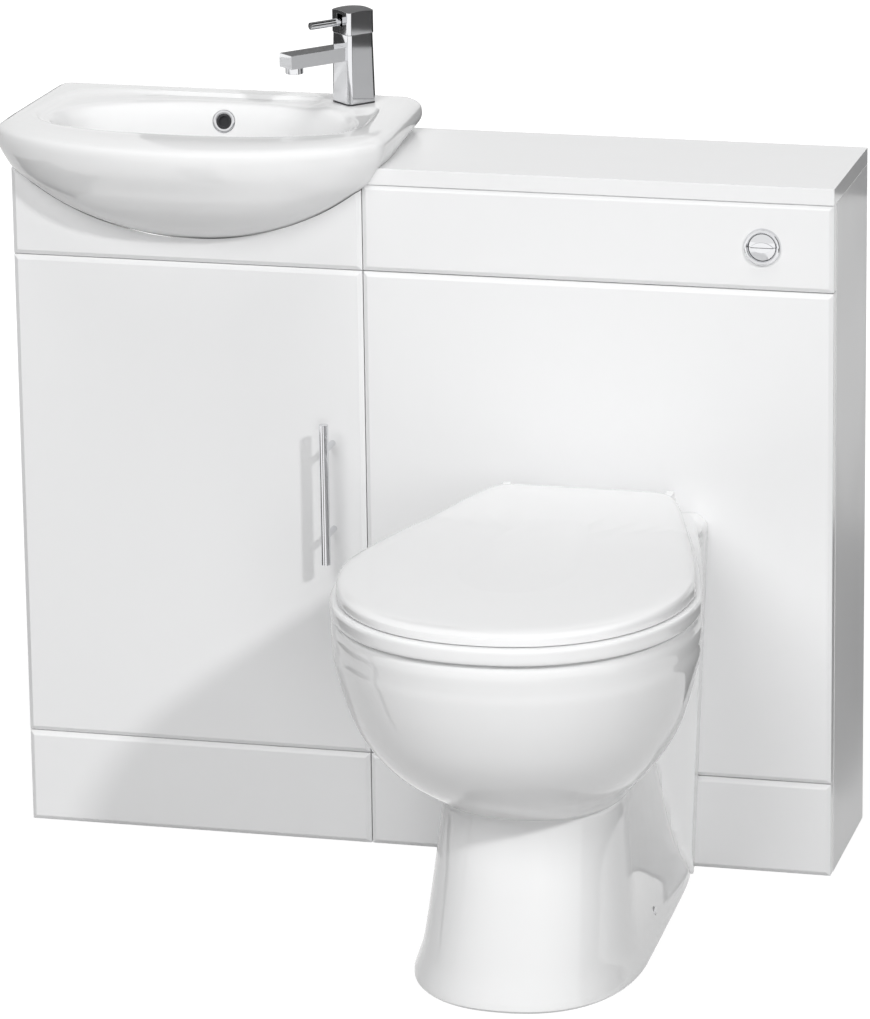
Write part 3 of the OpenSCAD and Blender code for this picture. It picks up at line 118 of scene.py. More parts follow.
def noise(tree, scale_socket, detail=3.0, stretch=(1, 1, 1)):
    where = node(tree, "TexCoord")
    stretched = node(tree, "Mapping", [(where.outputs["Object"], "Vector")])
    stretched.inputs["Scale"].default_value = stretch
    made = node(tree, "TexNoise", [(stretched.outputs["Vector"], "Vector"), (scale_socket, "Scale")])
    made.inputs["Detail"].default_value = detail
    return made.outputs["Fac"]


print("group helpers ready")

# %% Tone drift, surface pebble and hand smears
FLOAT, COLOUR = "NodeSocketFloat", "NodeSocketColor"
tone_drift, entry, leave = group(
    "tone_drift", [("Colour", COLOUR, (1, 1, 1, 1)), ("Scale", FLOAT, 3.0), ("Amount", FLOAT, 0.02)],
    [("Colour", COLOUR)])
drift = noise(tone_drift, entry.outputs["Scale"])
away = node(tone_drift, "Math", [(drift, 0)], operation="SUBTRACT")
away.inputs[1].default_value = 0.5
share = node(tone_drift, "Math", [(away.outputs[0], 0), (entry.outputs["Amount"], 1)], operation="MULTIPLY")
factor = node(tone_drift, "Math", [(share.outputs[0], 0)], operation="ADD")
factor.inputs[1].default_value = 1.0
tinted = node(tone_drift, "VectorMath", [(entry.outputs["Colour"], 0), (factor.outputs[0], "Scale")],
              operation="SCALE")
tone_drift.links.new(tinted.outputs[0], leave.inputs["Colour"])

pebble, entry, leave = group(
    "pebble", [("Scale", FLOAT, 300.0), ("Depth", FLOAT, 0.1)], [("Height", FLOAT)])
grain = noise(pebble, entry.outputs["Scale"], 2.0)
deep = node(pebble, "Math", [(grain, 0), (entry.outputs["Depth"], 1)], operation="MULTIPLY")
pebble.links.new(deep.outputs[0], leave.inputs["Height"])

smears, entry, leave = group(
    "smears", [("Rough", FLOAT, 0.1), ("Spread", FLOAT, 0.05), ("Scale", FLOAT, 9.0)], [("Roughness", FLOAT)])
hand = noise(smears, entry.outputs["Scale"], 5.0, (1, 1, 0.6))
ramp = node(smears, "MapRange", [(hand, "Value")])
ramp.inputs["From Min"].default_value = 0.45
ramp.inputs["From Max"].default_value = 0.7
wide = node(smears, "Math", [(ramp.outputs[0], 0), (entry.outputs["Spread"], 1)], operation="MULTIPLY")
total = node(smears, "Math", [(wide.outputs[0], 0), (entry.outputs["Rough"], 1)], operation="ADD")
smears.links.new(total.outputs[0], leave.inputs["Roughness"])
print("groups:", [g.name for g in bpy.data.node_groups])

# %% [markdown]
# ## Finishes
# One recipe makes them all: a Principled surface whose colour drifts, whose roughness carries smears
# and whose bump is a fine pebble. The table below is then the whole paint shop. A scale is in cells per
# metre, and a depth is the height of the bump in millimetres.

# %% The recipe
def finish(name, colour, rough, spread=0.03, drift=(3.0, 0.02), grain=(300.0, 0.02), metal=0.0, shine=0.5,
           subsurface=0.0):
    material = bpy.data.materials.new(name)
    material.use_nodes = True
    tree = material.node_tree
    surface = tree.nodes["Principled BSDF"]
    tone = node(tree, "Group", node_tree=tone_drift)
    tone.inputs["Colour"].default_value = (*colour, 1)
    tone.inputs["Scale"].default_value, tone.inputs["Amount"].default_value = drift
    tree.links.new(tone.outputs["Colour"], surface.inputs["Base Color"])
    hand = node(tree, "Group", node_tree=smears)
    hand.inputs["Rough"].default_value, hand.inputs["Spread"].default_value = rough, spread
    tree.links.new(hand.outputs["Roughness"], surface.inputs["Roughness"])
    dots = node(tree, "Group", node_tree=pebble)
    dots.inputs["Scale"].default_value, dots.inputs["Depth"].default_value = grain
    bump = node(tree, "Bump", [(dots.outputs["Height"], "Height")])
    bump.inputs["Distance"].default_value = MM
    tree.links.new(bump.outputs["Normal"], surface.inputs["Normal"])
    surface.inputs["Metallic"].default_value = metal
    surface.inputs["Specular IOR Level"].default_value = shine
    surface.inputs["Subsurface Weight"].default_value = subsurface
    surface.inputs["Subsurface Radius"].default_value = (0.004, 0.003, 0.002)
    surface.inputs["Subsurface Scale"].default_value = 1.0
    return material


# %% The paint shop
FINISH = {
    "gloss_front": finish("gloss_front", (0.86, 0.862, 0.866), 0.2, 0.03, (2.0, 0.02), (120.0, 0.02), shine=0.3),
    "white_board": finish("white_board", (0.83, 0.832, 0.836), 0.34, 0.06, (3.0, 0.03), (900.0, 0.03), shine=0.25),
    "ceramic": finish("ceramic", (0.88, 0.882, 0.884), 0.07, 0.02, (2.0, 0.015), (14.0, 0.25)),
    "chrome": finish("chrome", (0.74, 0.745, 0.76), 0.03, 0.03, (6.0, 0.02), (60.0, 0.004), metal=1.0),
    "steel": finish("steel", (0.56, 0.565, 0.575), 0.28, 0.15, (20.0, 0.1), (700.0, 0.02), metal=1.0),
    "brass": finish("brass", (0.70, 0.56, 0.30), 0.25, 0.15, (15.0, 0.1), (500.0, 0.02), metal=1.0),
    "white_plastic": finish("white_plastic", (0.84, 0.845, 0.85), 0.32, 0.1, (6.0, 0.03), (600.0, 0.03)),
    "cistern_plastic": finish("cistern_plastic", (0.74, 0.75, 0.76), 0.42, 0.1, (5.0, 0.05), (450.0, 0.06)),
    "seat_plastic": finish("seat_plastic", (0.90, 0.902, 0.905), 0.12, 0.04, (2.0, 0.012), (60.0, 0.03)),
    "rubber": finish("rubber", (0.035, 0.035, 0.038), 0.55, 0.15, (12.0, 0.2), (800.0, 0.05)),
    "clear_rubber": finish("clear_rubber", (0.70, 0.71, 0.72), 0.3, 0.1, (10.0, 0.05), (500.0, 0.02),
                           subsurface=0.3),
}
print("finishes:", sorted(FINISH))

# %% [markdown]
# ## Which solid wears what
# Every solid gets a finish first, so nothing is ever left bare. Later cells replace the visible ones
# with better shapes, and those keep the same finish and slot.

# %% Dress every solid
WEAR = {
    "gloss_front": "vanity_fascia vanity_plinth door wc_fascia wc_front_panel wc_plinth wc_worktop",
    "white_board": "vanity_side_left vanity_side_right vanity_base vanity_wall_rail vanity_cross_rail vanity_shelf"
                   " wc_side_left wc_side_right wc_wall_rail wc_cross_rail",
    "ceramic": "basin pan",
    "chrome": "handle_bar handle_posts overflow_ring waste_body waste_plug tap_body tap_aerator tap_head tap_lever"
              " button_bezel button_full button_half seat_hinges isolating_valves",
    "steel": "shelf_pins hinge_plates hinge_arms hinge_cups handle_screws waste_nut tap_tails floor_brackets",
    "brass": "tap_clamp",
    "white_plastic": "trap_body trap_cup trap_nuts trap_outlet_pipe flush_pipe fill_float",
    "cistern_plastic": "cistern_tank cistern_lid fill_valve flush_valve",
    "seat_plastic": "seat lid",
    "rubber": "tap_gasket flush_seal pan_connector air_tubes",
    "clear_rubber": "seat_buffers lid_buffers",
}
worn = {name: slot for slot, names in WEAR.items() for name in names.split()}
for name, solid in frame["nodes"].items():
    solid.data.materials.clear()
    solid.data.materials.append(FINISH[worn[name]])
print("bare solids:", sorted(set(frame["nodes"]) - set(worn)))

# %% [markdown]
# ## Mesh helpers
# A piece is made from points and faces, in millimetres, then shaded smooth except at true edges.
# Placing it is one call: it rides on the body of the solid it stands for and takes that solid's finish.

# %% Make, cut and place a piece
def mesh_piece(name, points, faces):
    mesh = bpy.data.meshes.new(name)
    mesh.from_pydata([tuple(p) for p in np.asarray(points, float) * MM], [], [tuple(map(int, f)) for f in faces])
    mesh.update()
    piece = bpy.data.objects.new(name, mesh)
    bpy.context.scene.collection.objects.link(piece)
    return piece


def settle(piece):
    """Applies the piece's modifiers to its mesh."""
    shape = bpy.data.meshes.new_from_object(piece.evaluated_get(bpy.context.evaluated_depsgraph_get()))
    piece.modifiers.clear()
    piece.data = shape
    return piece


def combine(piece, other, operation):
    """Joins other to the piece, or cuts it away, and deletes other."""
    step = piece.modifiers.new("combine", "BOOLEAN")
    step.operation, step.object, step.solver = operation, other, "MANIFOLD"
    settle(piece)
    bpy.data.objects.remove(other)
    return piece


def smooth(piece, degrees=35):
    piece.data.shade_smooth()
    piece.data.set_sharp_from_angle(angle=math.radians(degrees))
    return piece


def place(piece, *nodes):
    """The piece stands for these solids of one body."""
    piece.data.materials.clear()
    piece.data.materials.append(FINISH[worn[nodes[0]]])
    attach(piece, frame["nodes"][nodes[0]]["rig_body"])
    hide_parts(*nodes)
    return piece


print("mesh helpers ready")

# %% [markdown]
# ## Softened edges
# No real edge is a perfect line: boards have a small radius, castings more. The helper welds a copy of
# a solid, clears the lines inside its flat faces, rounds its corners with a bevel and weights the
# normals, so that flat faces stay flat while the edge catches the light. The fronts also reach a little
# further at each edge than their solids, which makes the dark lines between them as fine as they look
# on the real unit. An edge on the floor stays on the floor.

# %% The softening helper
EDGE_ZONE, FLOOR_ZONE = 7, 1
WELD_M, FLAT_DEGREES, CORNER_DEGREES, SMOOTH_DEGREES = 1e-6, 0.5, 30, 40


def softened(name, width_mm, reach=0.0):
    shape = bmesh.new()
    shape.from_mesh(frame["nodes"][name].data)
    bmesh.ops.remove_doubles(shape, verts=shape.verts, dist=WELD_M)
    bmesh.ops.dissolve_limit(shape, angle_limit=math.radians(FLAT_DEGREES), verts=shape.verts, edges=shape.edges)
    shape.verts.index_update()
    points = np.array([v.co / MM for v in shape.verts])
    low, high = points.min(0), points.max(0)
    for axis in (0, 2):
        points[points[:, axis] > high[axis] - EDGE_ZONE, axis] += reach
        if abs(low[axis]) > FLOOR_ZONE:
            points[points[:, axis] < low[axis] + EDGE_ZONE, axis] -= reach
    faces = [[v.index for v in f.verts] for f in shape.faces]
    shape.free()
    piece = mesh_piece(name + "_edged", points, faces)
    round_off = piece.modifiers.new("round", "BEVEL")
    round_off.width, round_off.segments = width_mm * MM, 3
    round_off.limit_method, round_off.angle_limit = "ANGLE", math.radians(CORNER_DEGREES)
    round_off.miter_outer = "MITER_ARC"
    settle(piece)
    smooth(piece, SMOOTH_DEGREES)
    weigh = piece.modifiers.new("weigh", "WEIGHTED_NORMAL")
    weigh.keep_sharp = True
    settle(piece)
    return place(piece, name)


# %% Round the boards, fronts and fittings
FRONT_EDGE_MM, FRONTS_REACH = 0.7, 0.8
EDGES_MM = {
    FRONT_EDGE_MM: "vanity_plinth door wc_fascia wc_front_panel wc_plinth",
    0.6: "wc_worktop vanity_side_left vanity_side_right wc_side_left wc_side_right vanity_base vanity_shelf"
         " vanity_cross_rail vanity_wall_rail wc_cross_rail wc_wall_rail",
    0.8: "cistern_tank cistern_lid",
    0.4: "hinge_plates hinge_arms hinge_cups floor_brackets waste_nut trap_nuts trap_cup trap_body",
    0.35: "tap_body tap_head tap_aerator tap_lever isolating_valves handle_posts",
    0.2: "button_full button_half",
    1.4: "handle_bar",
}
for width, names in EDGES_MM.items():
    for name in names.split():
        softened(name, width, FRONTS_REACH if width == FRONT_EDGE_MM else 0.0)
print("softened", sum(len(n.split()) for n in EDGES_MM.values()), "solids")

# %% [markdown]
# ## Ceramic outlines
# Sanitary ware is drawn as a stack of outlines. Each one here is a soft D: the back half and the front
# half are each a superellipse, somewhere between an ellipse and a rectangle. The points are spread
# evenly along the outline, and a smooth curve runs through the stack, so the glaze reflects without a
# ripple.

# %% One soft D
QUARTER = 56


def quarter_arc(power):
    """A quarter of a unit superellipse from (1, 0) to (0, 1)."""
    turn = 2 ** (-1 / power)
    low = np.linspace(0, turn, 160)
    return np.concatenate([
        np.stack([(1 - low ** power) ** (1 / power), low], 1),
        np.stack([low, (1 - low ** power) ** (1 / power)], 1)[::-1][1:]])


def spread_even(path, count):
    """count points evenly along a path, without its last point."""
    run = np.concatenate([[0], np.cumsum(np.linalg.norm(np.diff(path, axis=0), axis=1))])
    where = np.linspace(0, run[-1], count + 1)[:-1]
    return np.stack([np.interp(where, run, path[:, k]) for k in range(path.shape[1])], 1)


def ring_of(rear, ahead, z, count):
    """A closed ring from its right half: from the widest line, rear runs to the back and ahead to the front."""
    flip = np.array([-1, 1])
    ring = np.concatenate([spread_even(q, count) for q in (rear, (rear * flip)[::-1], ahead * flip, ahead[::-1])])
    return np.column_stack([ring, np.full(len(ring), float(z))])


def soft_d(hw, yw, yr, yf, er, ef, k, z, p=1.2, count=QUARTER):
    """hw: half width on the line y = yw. yr, yf: back and front. er, ef: squareness. k: narrowing of the back."""
    back, front = quarter_arc(er), quarter_arc(ef)
    rear = np.stack([hw * back[:, 0] * (1 - k * back[:, 1] ** p), yw + (yr - yw) * back[:, 1]], 1)
    return ring_of(rear, np.stack([hw * front[:, 0], yw + (yf - yw) * front[:, 1]], 1), z, count)


def soft_max(a, b, radius):
    gap = np.maximum(radius - np.abs(a - b), 0) / radius
    return np.maximum(a, b) + gap ** 2 * radius / 4


print("a soft D has", 4 * QUARTER, "points")

# %% The curve through a stack of outlines
def flow(rings, step=5.0):
    """A smooth curve through a stack of rings, with a new ring every few millimetres."""
    rings = np.asarray(rings, float)
    gap = np.sqrt([np.linalg.norm(b - a, axis=1).mean() for a, b in zip(rings, rings[1:])])
    at = np.concatenate([[0], np.cumsum(gap)])
    slope = np.gradient(rings, at, axis=0)
    out = []
    for j, (a, b) in enumerate(zip(rings, rings[1:])):
        count = max(2, math.ceil(gap[j] ** 2 / step))
        for t in np.linspace(0, 1, count, endpoint=False):
            h = (2 * t ** 3 - 3 * t ** 2 + 1, t ** 3 - 2 * t ** 2 + t, 3 * t ** 2 - 2 * t ** 3, t ** 3 - t ** 2)
            out.append(h[0] * a + h[1] * gap[j] * slope[j] + h[2] * b + h[3] * gap[j] * slope[j + 1])
    return out + [rings[-1]]


def skin(name, rings):
    """A closed skin over rings, from the first to the last, with its two ends filled."""
    n, m = len(rings[0]), len(rings)
    faces = [[j * n + i, j * n + (i + 1) % n, (j + 1) * n + (i + 1) % n, (j + 1) * n + i]
             for j in range(m - 1) for i in range(n)]
    faces += [list(range(n))[::-1], [(m - 1) * n + i for i in range(n)]]
    piece = mesh_piece(name, np.concatenate(rings), faces)
    shape = bmesh.new()
    shape.from_mesh(piece.data)
    if shape.calc_volume(signed=True) < 0:
        bmesh.ops.reverse_faces(shape, faces=shape.faces)
        shape.to_mesh(piece.data)
    shape.free()
    return piece


def at_x(rings, x):
    return [r + (x, 0, 0) for r in rings]


print("ready to skin outlines")

# %% [markdown]
# ## Simple cutters
# Holes, pockets and bosses are cylinders and blocks that are joined to a piece or cut out of it.

# %% A rod along any axis, a block and a prism
def rod(start, axis, diameter, length, sides=64):
    turn = Vector((0, 0, 1)).rotation_difference(Vector(axis)).to_matrix()
    ring = [(math.cos(a) * diameter / 2, math.sin(a) * diameter / 2)
            for a in np.linspace(0, 2 * math.pi, sides + 1)[:-1]]
    ends = [[Vector(start) + turn @ Vector((x, y, z)) for x, y in ring] for z in (0, length)]
    return skin("rod", np.array([[tuple(p) for p in end] for end in ends]))


def block(low, high):
    (x0, y0, z0), (x1, y1, z1) = low, high
    return skin("block", np.array([[(x0, y0, z), (x1, y0, z), (x1, y1, z), (x0, y1, z)] for z in (z0, z1)], float))


def upright(corners, z0, z1):
    """A prism from corners (x, y)."""
    return skin("prism", np.array([[(x, y, z) for x, y in corners] for z in (z0, z1)], float))


def level(corners, y0, y1):
    """A prism from corners (x, z), which runs from y0 to y1."""
    return skin("prism", np.array([[(x, y, z) for x, z in corners] for y in (y0, y1)], float))


print("cutters ready")

# %% [markdown]
# ## The basin
# A semi-recessed basin: its front bowl hangs clear of the cabinet, its back sits on the boards. The
# outside rises from the underside of the bowl to a full rounded rim, turns over to a flat ledge and
# goes down into the bowl. The landing for the tap is pressed up out of the same ledge.

# %% Basin sizes, in millimetres
CARCASS_H, RIM_Z, CREST_Z = 742, 796, 787
BASIN_X, BASIN_HW, BASIN_D, WASTE_Y = -189, 215, 285, 110
SIDE_TAPER, FRONT_SPREAD, BASIN_QUARTER = 0.03, 15.5, 96
RIM_CORNER = 7
BOWL_DROP = 128
BOWL_LOW = CREST_Z - BOWL_DROP * math.sin(math.radians(76))
BOWL_FLOOR = BOWL_LOW + 14
TAP_AT = Vector((BASIN_X + BASIN_HW - 72, -44))


def rim_plan(hw, middle, back, front, z):
    """Nearly straight sides, crisp rear corners, and a wide ellipse in front that the sides cut off."""
    y = np.concatenate([np.linspace(middle, back - RIM_CORNER, 60)[:-1],
                        back - RIM_CORNER * np.cos(np.linspace(0, math.pi / 2, 24))])
    into = np.clip((y - back + RIM_CORNER) / RIM_CORNER, 0, 1)
    side = hw * (1 - SIDE_TAPER * (y - middle) / -middle) - RIM_CORNER * (1 - np.sqrt(1 - into ** 2))
    a = np.linspace(0, math.pi / 2, 240)
    cut_off = -soft_max(np.full(240, -hw), -(hw + FRONT_SPREAD) * np.cos(a), 5)
    rear = np.concatenate([np.stack([side, y], 1), [(0, back)]])
    return ring_of(rear, np.stack([cut_off, middle + (front - middle) * np.sin(a)], 1), z, BASIN_QUARTER)


def outline(hw, middle, back, front, z, crisp):
    """Between the bowl's soft D, at crisp 0, and the rim's plan, at crisp 1."""
    soft = soft_d(hw, middle, back, front, 2.6, 2.6, 0.1, z, count=BASIN_QUARTER)
    return soft + (rim_plan(hw, middle, back, front, z) - soft) * crisp


def bowl_ring(degrees, crisp, grow=0.0):
    c, s = math.cos(math.radians(degrees)), math.sin(math.radians(degrees))
    return outline(BASIN_HW * c ** 1.35 + grow, -WASTE_Y - 40 * c ** 2, -WASTE_Y + (WASTE_Y - 14) * c + grow,
                   -WASTE_Y - (BASIN_D - WASTE_Y) * c - grow, CREST_Z - BOWL_DROP * s - grow, crisp)


def rim_ring(z, side, back, ahead, crisp=1.0):
    return outline(BASIN_HW - side, -WASTE_Y - 40, -0.3 - back, -BASIN_D + ahead, z, crisp)


def inside_ring(z, inset, back, ahead, er):
    return soft_d(BASIN_HW - inset, -WASTE_Y - 28, -back, -BASIN_D + ahead, er, 2.5, 0.04, z, count=BASIN_QUARTER)


BOWL_STEPS = ((76, 0), (68, 0), (58, 0), (47, 0), (36, 0.08), (27, 0.3))
basin_rings = [bowl_ring(*step) for step in BOWL_STEPS] + [
    rim_ring(CARCASS_H + 0.3, 16, 0, 12, 0.6), rim_ring(CARCASS_H + 16, 7, 0, 4, 0.85),
    rim_ring(CARCASS_H + 30, 1, 0, 0.5),
    rim_ring(CREST_Z - 4, 0, 0, 0), rim_ring(CREST_Z + 1, 1.6, 0.5, 2), rim_ring(RIM_Z - 4.5, 6, 2, 9),
    rim_ring(RIM_Z - 1.2, 13, 5, 24), rim_ring(RIM_Z, 21, 10, 40),
    inside_ring(RIM_Z, 31, 29, 52, 7), inside_ring(RIM_Z - 4, 36, 33, 57, 5),
    inside_ring(RIM_Z - 6, 46, 50, 62, 2.3),
    inside_ring(RIM_Z - 14, 52, 56, 68, 2.2), inside_ring(RIM_Z - 40, 60, 62, 74, 2.2),
    inside_ring(RIM_Z - 68, 74, 66, 84, 2.2), inside_ring(RIM_Z - 92, 100, 70, 100, 2.2),
    inside_ring(RIM_Z - 108, 136, 75, 126, 2), inside_ring(BOWL_FLOOR + 1, BASIN_HW - 34, 77, 141, 2)]
print(f"{len(basin_rings)} basin outlines, floor of the bowl at {BOWL_FLOOR:.1f} mm")

# %% Shape the basin and press up the tap landing
basin = skin("basin_ceramic", at_x(flow(basin_rings), BASIN_X))
LANDING_R, LANDING_FADE = 27, 24
for v in basin.data.vertices:
    x, y, z = v.co / MM
    away = math.hypot(x - TAP_AT.x, y - TAP_AT.y)
    if z > RIM_Z - 16 and away < LANDING_R + LANDING_FADE:
        t = min(1, max(0, (LANDING_R + LANDING_FADE - away) / LANDING_FADE))
        v.co.z += (RIM_Z - z) * t * t * (3 - 2 * t) * MM
print("basin skin:", len(basin.data.polygons), "faces")

# %% Cut the basin's holes and its seat on the boards
UNIT_D, INNER_D, BOARD = 195, 177, 18
waste_at = (BASIN_X, -WASTE_Y)
OVERFLOW_AT, OVERFLOW_LEAN = Vector((BASIN_X, -57.4, RIM_Z - 25)), math.radians(13)
into_wall = Vector((0, math.cos(OVERFLOW_LEAN), -math.sin(OVERFLOW_LEAN)))
low, tall = BOWL_LOW - 1, CARCASS_H + 0.3
cuts = [
    rod((*waste_at, BOWL_LOW - 5), (0, 0, 1), 46, 30), rod((*waste_at, BOWL_FLOOR - 3), (0, 0, 1), 64, 12),
    rod((TAP_AT.x, TAP_AT.y, RIM_Z - 40), (0, 0, 1), 35, 50),
    rod((TAP_AT.x, TAP_AT.y, RIM_Z - 120), (0, 0, 1), 57.6, 105),
    rod(OVERFLOW_AT - 20 * into_wall, into_wall, 15, 34), rod(OVERFLOW_AT - 30 * into_wall, into_wall, 25.6, 30),
    block((-450, -INNER_D - 0.3, low), (-371.7, 10, tall)), block((-18.3, -INNER_D - 0.3, low), (59.7, 10, tall)),
    block((-390, -BOARD - 0.3, low), (0, 10, tall)), block((-0.3, -UNIT_D - 0.3, low), (60, 10, tall + 18)),
]
for cut in cuts:
    combine(basin, cut, "DIFFERENCE")
place(smooth(basin), "basin")
print("basin after cutting:", len(basin.data.polygons), "faces")

# %% [markdown]
# ## Turned chrome rings
# The overflow's ring and the bezel of the flush button are turned parts. A profile of points, each a
# radius and a depth behind the face, is spun round the axis, so the roll of the metal takes the dark
# and bright cards as a real one does.

# %% Spin a ring
def turned(name, profile, face_at, inward, sides=96):
    """profile: (radius, depth) round a closed loop."""
    turn = Vector((0, 0, 1)).rotation_difference(Vector(inward)).to_matrix()
    loops = [[Vector(face_at) + turn @ Vector((r * math.cos(a), r * math.sin(a), d)) for r, d in profile]
             for a in np.linspace(0, 2 * math.pi, sides + 1)[:-1]]
    n = len(profile)
    faces = [[j * n + i, j * n + (i + 1) % n, (j + 1) % sides * n + (i + 1) % n, (j + 1) % sides * n + i]
             for j in range(sides) for i in range(n)]
    ring = mesh_piece(name, [tuple(p) for loop in loops for p in loop], faces)
    shape = bmesh.new()
    shape.from_mesh(ring.data)
    bmesh.ops.recalc_face_normals(shape, faces=shape.faces)
    shape.to_mesh(ring.data)
    shape.free()
    return smooth(ring, 50)


def half_round(inner, outer, depth, steps=14):
    """The front of a rolled ring, from its inner edge to its outer one."""
    middle, half = (inner + outer) / 2, (outer - inner) / 2
    return [(middle - half * math.cos(a), depth * (1 - math.sin(a))) for a in np.linspace(0, math.pi, steps)]


# %% The overflow ring, with painted shade in its mouth and in the passage behind it
ring_face = OVERFLOW_AT - 2.2 * into_wall
overflow_profile = half_round(8.2, 12.5, 1.2) + [(12.5, 1.9), (7.3, 1.9), (7.3, 12), (6, 12), (6, 1.2)]
place(turned("overflow_chrome", overflow_profile, ring_face, into_wall), "overflow_ring")
# A black ring over the inner edge of the chrome and a black disc inside the passage are painted shade. They stand
# for the dark of a deep, open overflow hole and are not parts of the fitting.
overflow_painted_shade_ring = turned("overflow_mouth_painted_shade", [(6.0, 0.5), (8.15, 0.5), (8.15, 1.15), (6.0, 1.15)],
                      ring_face, into_wall)
overflow_painted_shade_disc = rod(OVERFLOW_AT + 3 * into_wall, into_wall, 11.8, 9)
overflow_painted_shade_disc.name = "overflow_painted_shade_disc"
# Both take the rubber finish only for its black colour, as painted shade.
for dark in (overflow_painted_shade_ring, overflow_painted_shade_disc):
    dark.data.materials.append(FINISH["rubber"])
    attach(smooth(dark), frame["nodes"]["basin"]["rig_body"])
print("overflow ring, lip and stop")

# %% The bezel of the flush button
BUTTON_AT = (434, -UNIT_D - 5, 694.5)
bezel = half_round(14.6, 20, 4.6) + [
    (20, 4.95), (17, 4.95), (17, 23.3), (23, 23.3), (23, 29.3), (17, 29.3), (17, 39), (14.6, 39)]
place(turned("bezel_chrome", bezel, BUTTON_AT, (0, 1, 0)), "button_bezel")
print("bezel at", BUTTON_AT)

# %% [markdown]
# ## The fascia behind the bowl
# The board over the door is cut to the bowl's outline. The cut uses the bowl's own rings, grown by the
# gap, so the gap is even all round.

# %% Bevelled board, cut to the bowl
BOWL_GAP = 0.8
BEVEL_WIDE, BEVEL_DEEP = 5, 3.5


def front_board(x0, z0, x1, z1):
    w, d = BEVEL_WIDE, BEVEL_DEEP
    face = [(x0 + w, z0 + w), (x1 - w, z0 + w), (x1 - w, z1 - w), (x0 + w, z1 - w)]
    edge = [(x0, z0), (x1, z0), (x1, z1), (x0, z1)]
    layers = [(face, -UNIT_D), (edge, -UNIT_D + d), (edge, -UNIT_D + BOARD)]
    return skin("board", np.array([[(x, y, z) for x, z in corners] for corners, y in layers]))


fascia = front_board(-388.75 - FRONTS_REACH, 648 - FRONTS_REACH, -1.25 + FRONTS_REACH, 741 + FRONTS_REACH)
grown = [bowl_ring(*step, grow=BOWL_GAP) for step in BOWL_STEPS]
grown.append(rim_ring(CARCASS_H + 0.3, 16 - BOWL_GAP, 0, 12 - BOWL_GAP, 0.6))
combine(fascia, skin("bowl_cut", at_x(flow(grown), BASIN_X)), "DIFFERENCE")
fascia.name = "vanity_fascia_cut"
round_off = fascia.modifiers.new("round", "BEVEL")
round_off.width, round_off.segments = 0.5 * MM, 2
round_off.limit_method, round_off.angle_limit = "ANGLE", math.radians(CORNER_DEGREES)
settle(fascia)
smooth(fascia, SMOOTH_DEGREES)
fascia.modifiers.new("weigh", "WEIGHTED_NORMAL").keep_sharp = True
place(settle(fascia), "vanity_fascia")
print("fascia:", len(fascia.data.polygons), "faces")

# %% [markdown]
# ## The pan
# One casting: a round bowl on a foot, a neck that narrows, and a flat back that stands against the
# panel. A plain union of those forms would leave hard inner corners that no casting has. Instead each
# outline is a half width for every depth, and the body's width and the back's width are blended with a
# smooth maximum, which makes the fillets.

# %% Pan sizes and its half widths
PAN_X, PAN_H, PAN_HW, PAN_L = 255, 400, 188, 562
FOOT_HW, FOOT_L, BACK_HW, FLANGE = 119, 465, 121, 24
OUTLET_Z, INLET_Z, LOW_Z = 185, 345, 170
WIDE_Y, FOOT_Y = PAN_L - 202, FOOT_L - 160
FACE_Y = -UNIT_D - 0.3
HINGE_Y = -UNIT_D - 37


def half_width(y, hw, ahead, yw, k, er, ef, p=1.1):
    """The body's half width at depth y, for one height."""
    middle = -UNIT_D - yw
    back = np.clip((y - middle) / (FACE_Y - middle), 0, 1)
    front = np.clip((middle - y) / (middle + UNIT_D + ahead), 0, 1)
    behind = hw * (1 - back ** er) ** (1 / er) * (1 - k * back ** p)
    return np.where(y > middle, behind, hw * (1 - front ** ef) ** (1 / ef))


def slab(y, z):
    """The half width of the flat back, and of the deck over it, at depth y and height z."""
    rise = min(1, z / (PAN_H - 14))
    wide = (FOOT_HW - 13) + (BACK_HW - FOOT_HW + 13) * rise - 12 * max(0, (z - PAN_H + 14) / 14) ** 2
    back = wide * np.clip((y - FACE_Y + FLANGE) / 7 + 0.5, 0, 1) ** 0.5
    deck_rise = np.clip((z - PAN_H + 30) / 9, 0, 1) ** 0.5
    deck = deck_rise * (wide - 1 + 4 * np.clip((FACE_Y - y) / 110, 0, 1))
    deck = deck * np.clip((y - FACE_Y + 124) / 6 + 0.5, 0, 1)
    return np.maximum(back, deck)


def pan_ring(z, hw, ahead, yw, k, er, ef):
    front = -UNIT_D - ahead
    reach = -UNIT_D - yw - front
    near = front + reach * (1 - np.cos(np.linspace(0, math.pi / 2, 220)))
    y = np.concatenate([np.linspace(FACE_Y, near[-1], 420)[:-1], near[::-1]])
    w = soft_max(half_width(y, hw, ahead, yw, k, er, ef), slab(y, z), 16)
    w = np.where(y <= near[-1], half_width(y, hw, ahead, yw, k, er, ef), w)
    side = np.stack([w, y], 1)
    side[-1, 0] = 0
    back = spread_even(np.array([(0, FACE_Y), (w[0], FACE_Y)]), 12)
    right = np.concatenate([back, spread_even(side, 130)])
    left = np.concatenate([[side[-1]], right[:0:-1]]) * (-1, 1)
    ring = np.concatenate([right, left])[::-1]
    return np.column_stack([ring, np.full(len(ring), float(z))])


print("pan ring has", len(pan_ring(0, 116, 462, FOOT_Y, 0.08, 12, 2.3)), "points")

